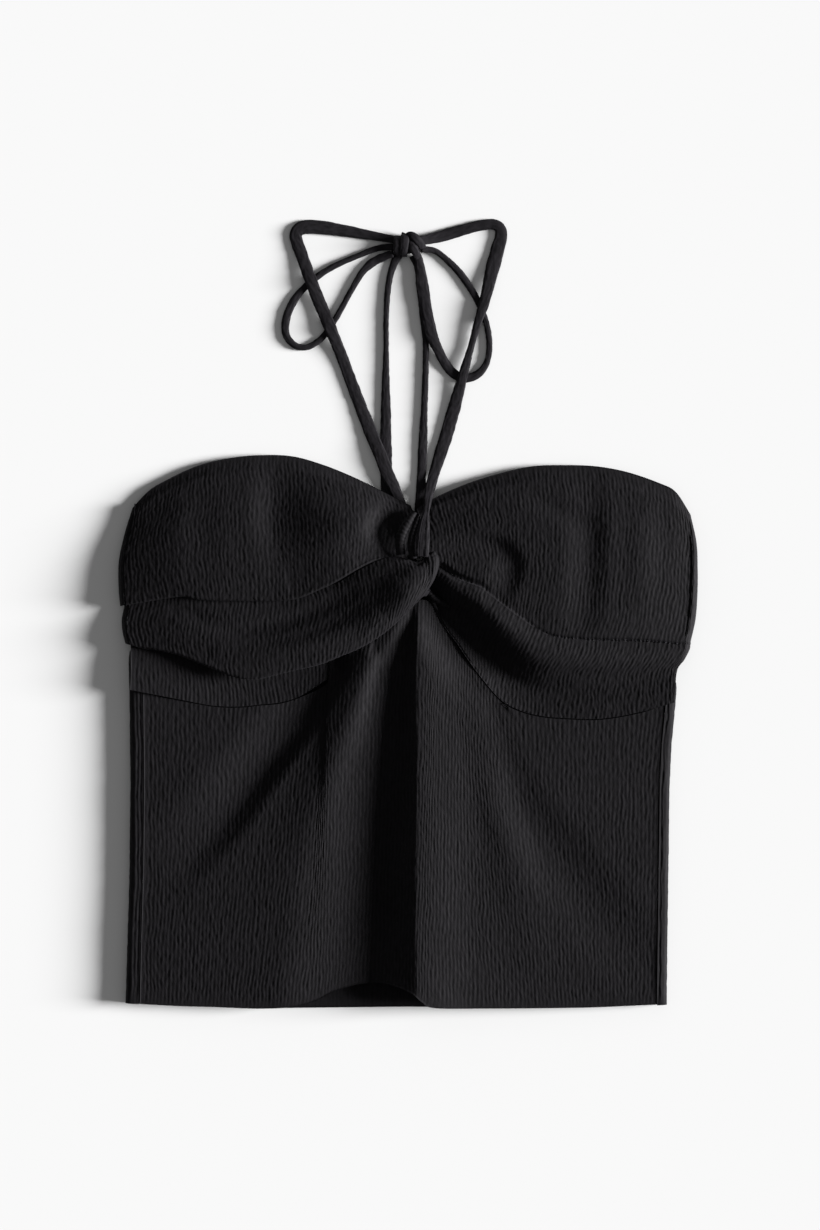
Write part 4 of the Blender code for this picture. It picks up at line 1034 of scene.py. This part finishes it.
drape_grid = stretch(drape_edges, DRAPE_HEIGHTS, DRAPE_FOLDS, drape_columns, rows=44)
span = np.linspace(0, DRAPE_SPANS, drape_columns + 1)
free = np.clip((span - ROLL_START) / TURN_RUN, 0, 1)
inward = np.clip((span - TUCK_START) / TURN_RUN, 0, 1)
drape_grid = turned(drape_grid, "top", radius=0.5 + 1.4 * free, degrees=75)
drape_grid = turned(
    drape_grid, "bottom", radius=1.2 + 1.1 * inward, degrees=30 + 135 * inward,
    tuck=0.3 + 4.2 * inward, steps=12,
)  # fmt: skip
drape_grid = turned(drape_grid, "right", radius=4.6, degrees=80, steps=10)
drape_grid = side_turned(drape_grid, "left", reach=3.4)
cloth_piece(
    "left_drape", drape_grid, bust_finish, 4, ["bust_left_drape"], "bust_cloth", ["left_cup"], **CUP_RIBS
)

BAND_TOP = (
    (-177.6, 60), (-158.9, 57), (-133.3, 49), (-107.7, 40), (-94.9, 39.6), (-73.8, 44.5), (-51, 49),
)  # fmt: skip
SEAM_LEFT = (
    (-177.6, 26.6), (-158.9, 23), (-146.1, 20.5), (-125, 16.6), (-107.7, 16), (-94.9, 17.3),
    (-82.1, 18.6), (-69.3, 22.6), (-52, 33.4),
)  # fmt: skip
BAND_HEIGHTS = (
    Height(0.00, 8.0, 8.4, 7.4, 6.9, 7.4),
    Height(0.50, 10.0, 8.8, 7.2, 6.9, 7.4),
    Height(1.00, 10.6, 9.2, 7.6, 7.2, 7.6),
)
band_side = ((-177.4, 50.0), (-177.2, 38.0))
band_edges = (BAND_TOP, SEAM_LEFT, band_side, ((-51.5, 41.0),))
band_grid = stretch(band_edges, BAND_HEIGHTS, (), columns=200, rows=28)
band_grid = turned(band_grid, "bottom", SEAM_TURN, SEAM_DEGREES)
cloth_piece(
    "left_band", band_grid, bust_finish, 5, ["bust_left_band"], "bust_cloth", ["front_panel", "back_panel"]
)

# %% [markdown]
# ## The right bust
#
# The right bust is one panel. Its pleat is a step that dies out towards the twist, where the
# panel's lower edge drops into a deep hollow beside the drape.

# %% Right cup
NECK_RIGHT = (
    (5.4, 142.4), (17.8, 150.1), (38.2, 159), (58.7, 165.4), (79.2, 169.9), (99.7, 170.6),
    (120.2, 169.9), (140.6, 166.1), (161.1, 159), (171.4, 153.3), (181, 138.6),
)  # fmt: skip
PLEAT_RIGHT = (
    (13, 107), (21, 106), (33, 98.5), (46, 94), (52.3, 89.3), (71.5, 75), (89.5, 63.7), (110, 60.5),
    (148.3, 59.2), (173.9, 57.3), (181, 57.6),
)  # fmt: skip
SEAM_RIGHT = (
    (15.4, 83), (21.5, 69.2), (31.1, 56.2), (37.5, 46.6), (47.1, 33.8), (59.3, 20), (71.8, 13.3),
    (84.3, 10.1), (97.1, 8.8), (122.7, 8.2), (148.3, 12.5), (170, 18.6),
)  # fmt: skip
UPPER_RIGHT_HEIGHTS = (
    Height(0.00, 6.6, 4.0, 3.4, 3.4, 4.4),
    Height(0.10, 9.0, 8.2, 7.8, 7.6, 7.4),
    Height(0.45, 12.4, 14.6, 16.4, 15.0, 10.6),
    Height(0.85, 15.0, 17.0, 18.2, 16.8, 11.4),
    Height(1.00, 15.4, 17.6, 17.6, 16.2, 11.4),
)
LOWER_RIGHT_HEIGHTS = (
    Height(0.00, 14.6, 17.6, 16.4, 12.8, 10.4),
    Height(0.22, 12.6, 19.2, 18.0, 14.8, 11.0),
    Height(0.36, 8.4, 15.2, 16.6, 13.8, 10.8),
    Height(0.50, 5.8, 7.2, 11.8, 10.6, 10.4),
    Height(0.66, 5.2, 5.2, 6.8, 8.8, 10.2),
    Height(0.84, 6.0, 6.2, 6.8, 8.8, 10.1),
    Height(1.00, 7.2, 7.8, 8.0, 8.8, 10.1),
)
RIGHT_FOLDS = (
    Fold(
        ((24, 119), (42, 120), (58, 117), (66, 107), (63, 96), (57, 86)),
        (-0.6, -2.4, -0.6), (14, 18), (9, 11),
    ),
    Fold(((116, 160), (115, 130), (114, 98), (112, 74)), (-0.5, -2.1, -1.0), (18, 18), (15, 16)),
    Fold(((70, 152), (96, 142), (118, 128)), (-0.2, -1.2, -0.4), (10, 12), (10, 12)),
    Fold(((21, 105.6), (33, 98), (46, 93.4), (54, 87.4)), (-1.6, -1.6, -0.2), (3.5, 3.5), (3.5, 3.5)),
    Fold(((152, 150), (150, 120), (148, 84)), (0.2, 0.8, 0.4), (14, 14), (14, 14)),
)
PLEAT_STEP = 1.6
right_twist_end = ((10.0, 130.0), (12.4, 118.0))
right_side = ((184.6, 122.0), (185.4, 108.0), (185.4, 90.6), (184.2, 72.6))
right_edges = (NECK_RIGHT, PLEAT_RIGHT, right_twist_end, right_side)
right_upper = stretch(right_edges, UPPER_RIGHT_HEIGHTS, RIGHT_FOLDS, columns=300, rows=76)
hollow = ((11.5, 99.0), (11.0, 91.0))
right_low_side = ((180.2, 52.5), (176.6, 46.0), (172.2, 40.0), (170.8, 30.0))
right_low_edges = (PLEAT_RIGHT, SEAM_RIGHT, hollow, right_low_side)
right_lower = stretch(right_low_edges, LOWER_RIGHT_HEIGHTS, RIGHT_FOLDS, columns=300, rows=50)
right_lower[:, 0, 1] -= PLEAT_STEP
right_grid = np.concatenate([right_upper, right_lower], axis=1)
right_grid = turned(right_grid, "bottom", SEAM_TURN, SEAM_DEGREES)
right_grid = side_turned(right_grid, "right", reach=3.6)
cloth_piece(
    "right_cup", right_grid, bust_finish, 6, ["bust_right_panel"], "bust_cloth", ["back_panel"], **CUP_RIBS
)

# %% [markdown]
# ## The twist
#
# The right panel's own end comes out behind the strap as a hooked roll, which ends at the left
# drape's top edge. Inside the hook a second, smaller fold shows, and one more lies in the dark
# hollow below. Each is an arched strip along a short route.

# %% Twist: x, y, height of the crest and half the width along each roll
HOOK = (
    (4.2, 140.6, 13.4, 1.9), (0.2, 134.6, 16, 2.7), (-3.8, 127.4, 17.8, 3.1), (-5.4, 121.2, 18.2, 3.1),
    (-4.7, 113, 17.9, 3),
)  # fmt: skip
HOOK_DEPTH = 2.8
HOOK_ARCH = 95.0


def arched(route, depth, lines, steps, tilt=0.0):
    """An arched roll of cloth along a route of crests and half widths. Tilt lifts its side towards +X."""
    stops = even_line(route, steps)
    run = unit(np.gradient(stops[:, :2], axis=0))
    sideways = np.column_stack([-run[:, 1], run[:, 0]])
    grid = np.zeros((steps, lines, 3))
    for j, angle in enumerate(np.radians(np.linspace(-HOOK_ARCH, HOOK_ARCH, lines))):
        grid[:, j, :2] = stops[:, :2] + sideways * (stops[:, 3:4] * np.sin(angle))
        grid[:, j, 2] = stops[:, 2] - depth * (1 - np.cos(angle)) + tilt * (grid[:, j, 0] - stops[:, 0])
    return grid[:, ::-1]


INNER_FOLD = (
    (6.6, 138, 13, 1.4), (4.4, 131, 15.6, 2.2), (2.4, 124, 17.8, 2.4), (1.8, 117.4, 19.4, 2.4),
    (3.6, 110.4, 19.6, 2.2),
)  # fmt: skip
HOLLOW_FOLD = (
    (10.6, 92, 11.6, 1.6), (14.6, 87.4, 10.6, 2), (19.8, 83.4, 9, 2.2), (26.4, 80, 7.2, 1.8),
)  # fmt: skip
for number, (name, route, depth, tilt) in enumerate(
    (
        ("twist_roll", HOOK, HOOK_DEPTH, 0.2),
        ("twist_inner_fold", INNER_FOLD, 2.6, 0.0),
        ("hollow_fold", HOLLOW_FOLD, 2.4, 0.0),
    )
):
    cloth_piece(
        name, arched(route, depth, lines=33, steps=65, tilt=tilt), bust_finish, 7 + number, ["twist_hook"],
        "bust_cloth", ["left_drape"], depth=0.35, thickness=1.2,
    )

# %% [markdown]
# ## Floor and light
#
# The picture is taken on white paper. A large soft light stands low on the right, so the top
# throws a soft shadow to its left, and pale light from all round fills the rest. A sun lamp with
# a wide angle lights the whole floor evenly, which a near lamp couldn't.

# %% Floor, world and lamps
FLOOR_SIZE = 12.0
floor_mesh = bpy.data.meshes.new("paper")
half = FLOOR_SIZE / 2
corners = [(x * half, y * half, 0) for x, y in ((-1, -1), (1, -1), (1, 1), (-1, 1))]
floor_mesh.from_pydata(corners, [], [(0, 1, 2, 3)])
floor = bpy.data.objects.new("paper", floor_mesh)
floor.location.z = -0.0002
scene.collection.objects.link(floor)
paper = bpy.data.materials.new("white_paper")
paper.use_nodes = True
paper_shader = paper.node_tree.nodes["Principled BSDF"]
paper_shader.inputs["Specular IOR Level"].default_value = 0.0
paper_shader.inputs["Roughness"].default_value = 0.9
paper_shader.inputs["Base Color"].default_value = (0.8, 0.8, 0.8, 1.0)
floor_mesh.materials.append(paper)

KEY_STRENGTH = 11.97
KEY_ELEVATION = 15.2
KEY_AZIMUTH = 1.0  # turned from +X towards +Y
KEY_ANGLE = 18.0
FILL = 0.185
key = bpy.data.objects.new("soft_key", bpy.data.lights.new("soft_key", "SUN"))
scene.collection.objects.link(key)
key.data.energy = KEY_STRENGTH
key.data.angle = np.radians(KEY_ANGLE)
key.rotation_euler = (0.0, np.radians(90.0 - KEY_ELEVATION), np.radians(KEY_AZIMUTH))
world = bpy.data.worlds.new("studio")
scene.world = world
world.use_nodes = True
world.node_tree.nodes["Background"].inputs["Color"].default_value = (1.0, 1.0, 1.0, 1.0)
world.node_tree.nodes["Background"].inputs["Strength"].default_value = FILL
scene.view_settings.view_transform = "Standard"
print("key lamp at", KEY_ELEVATION, "degrees")
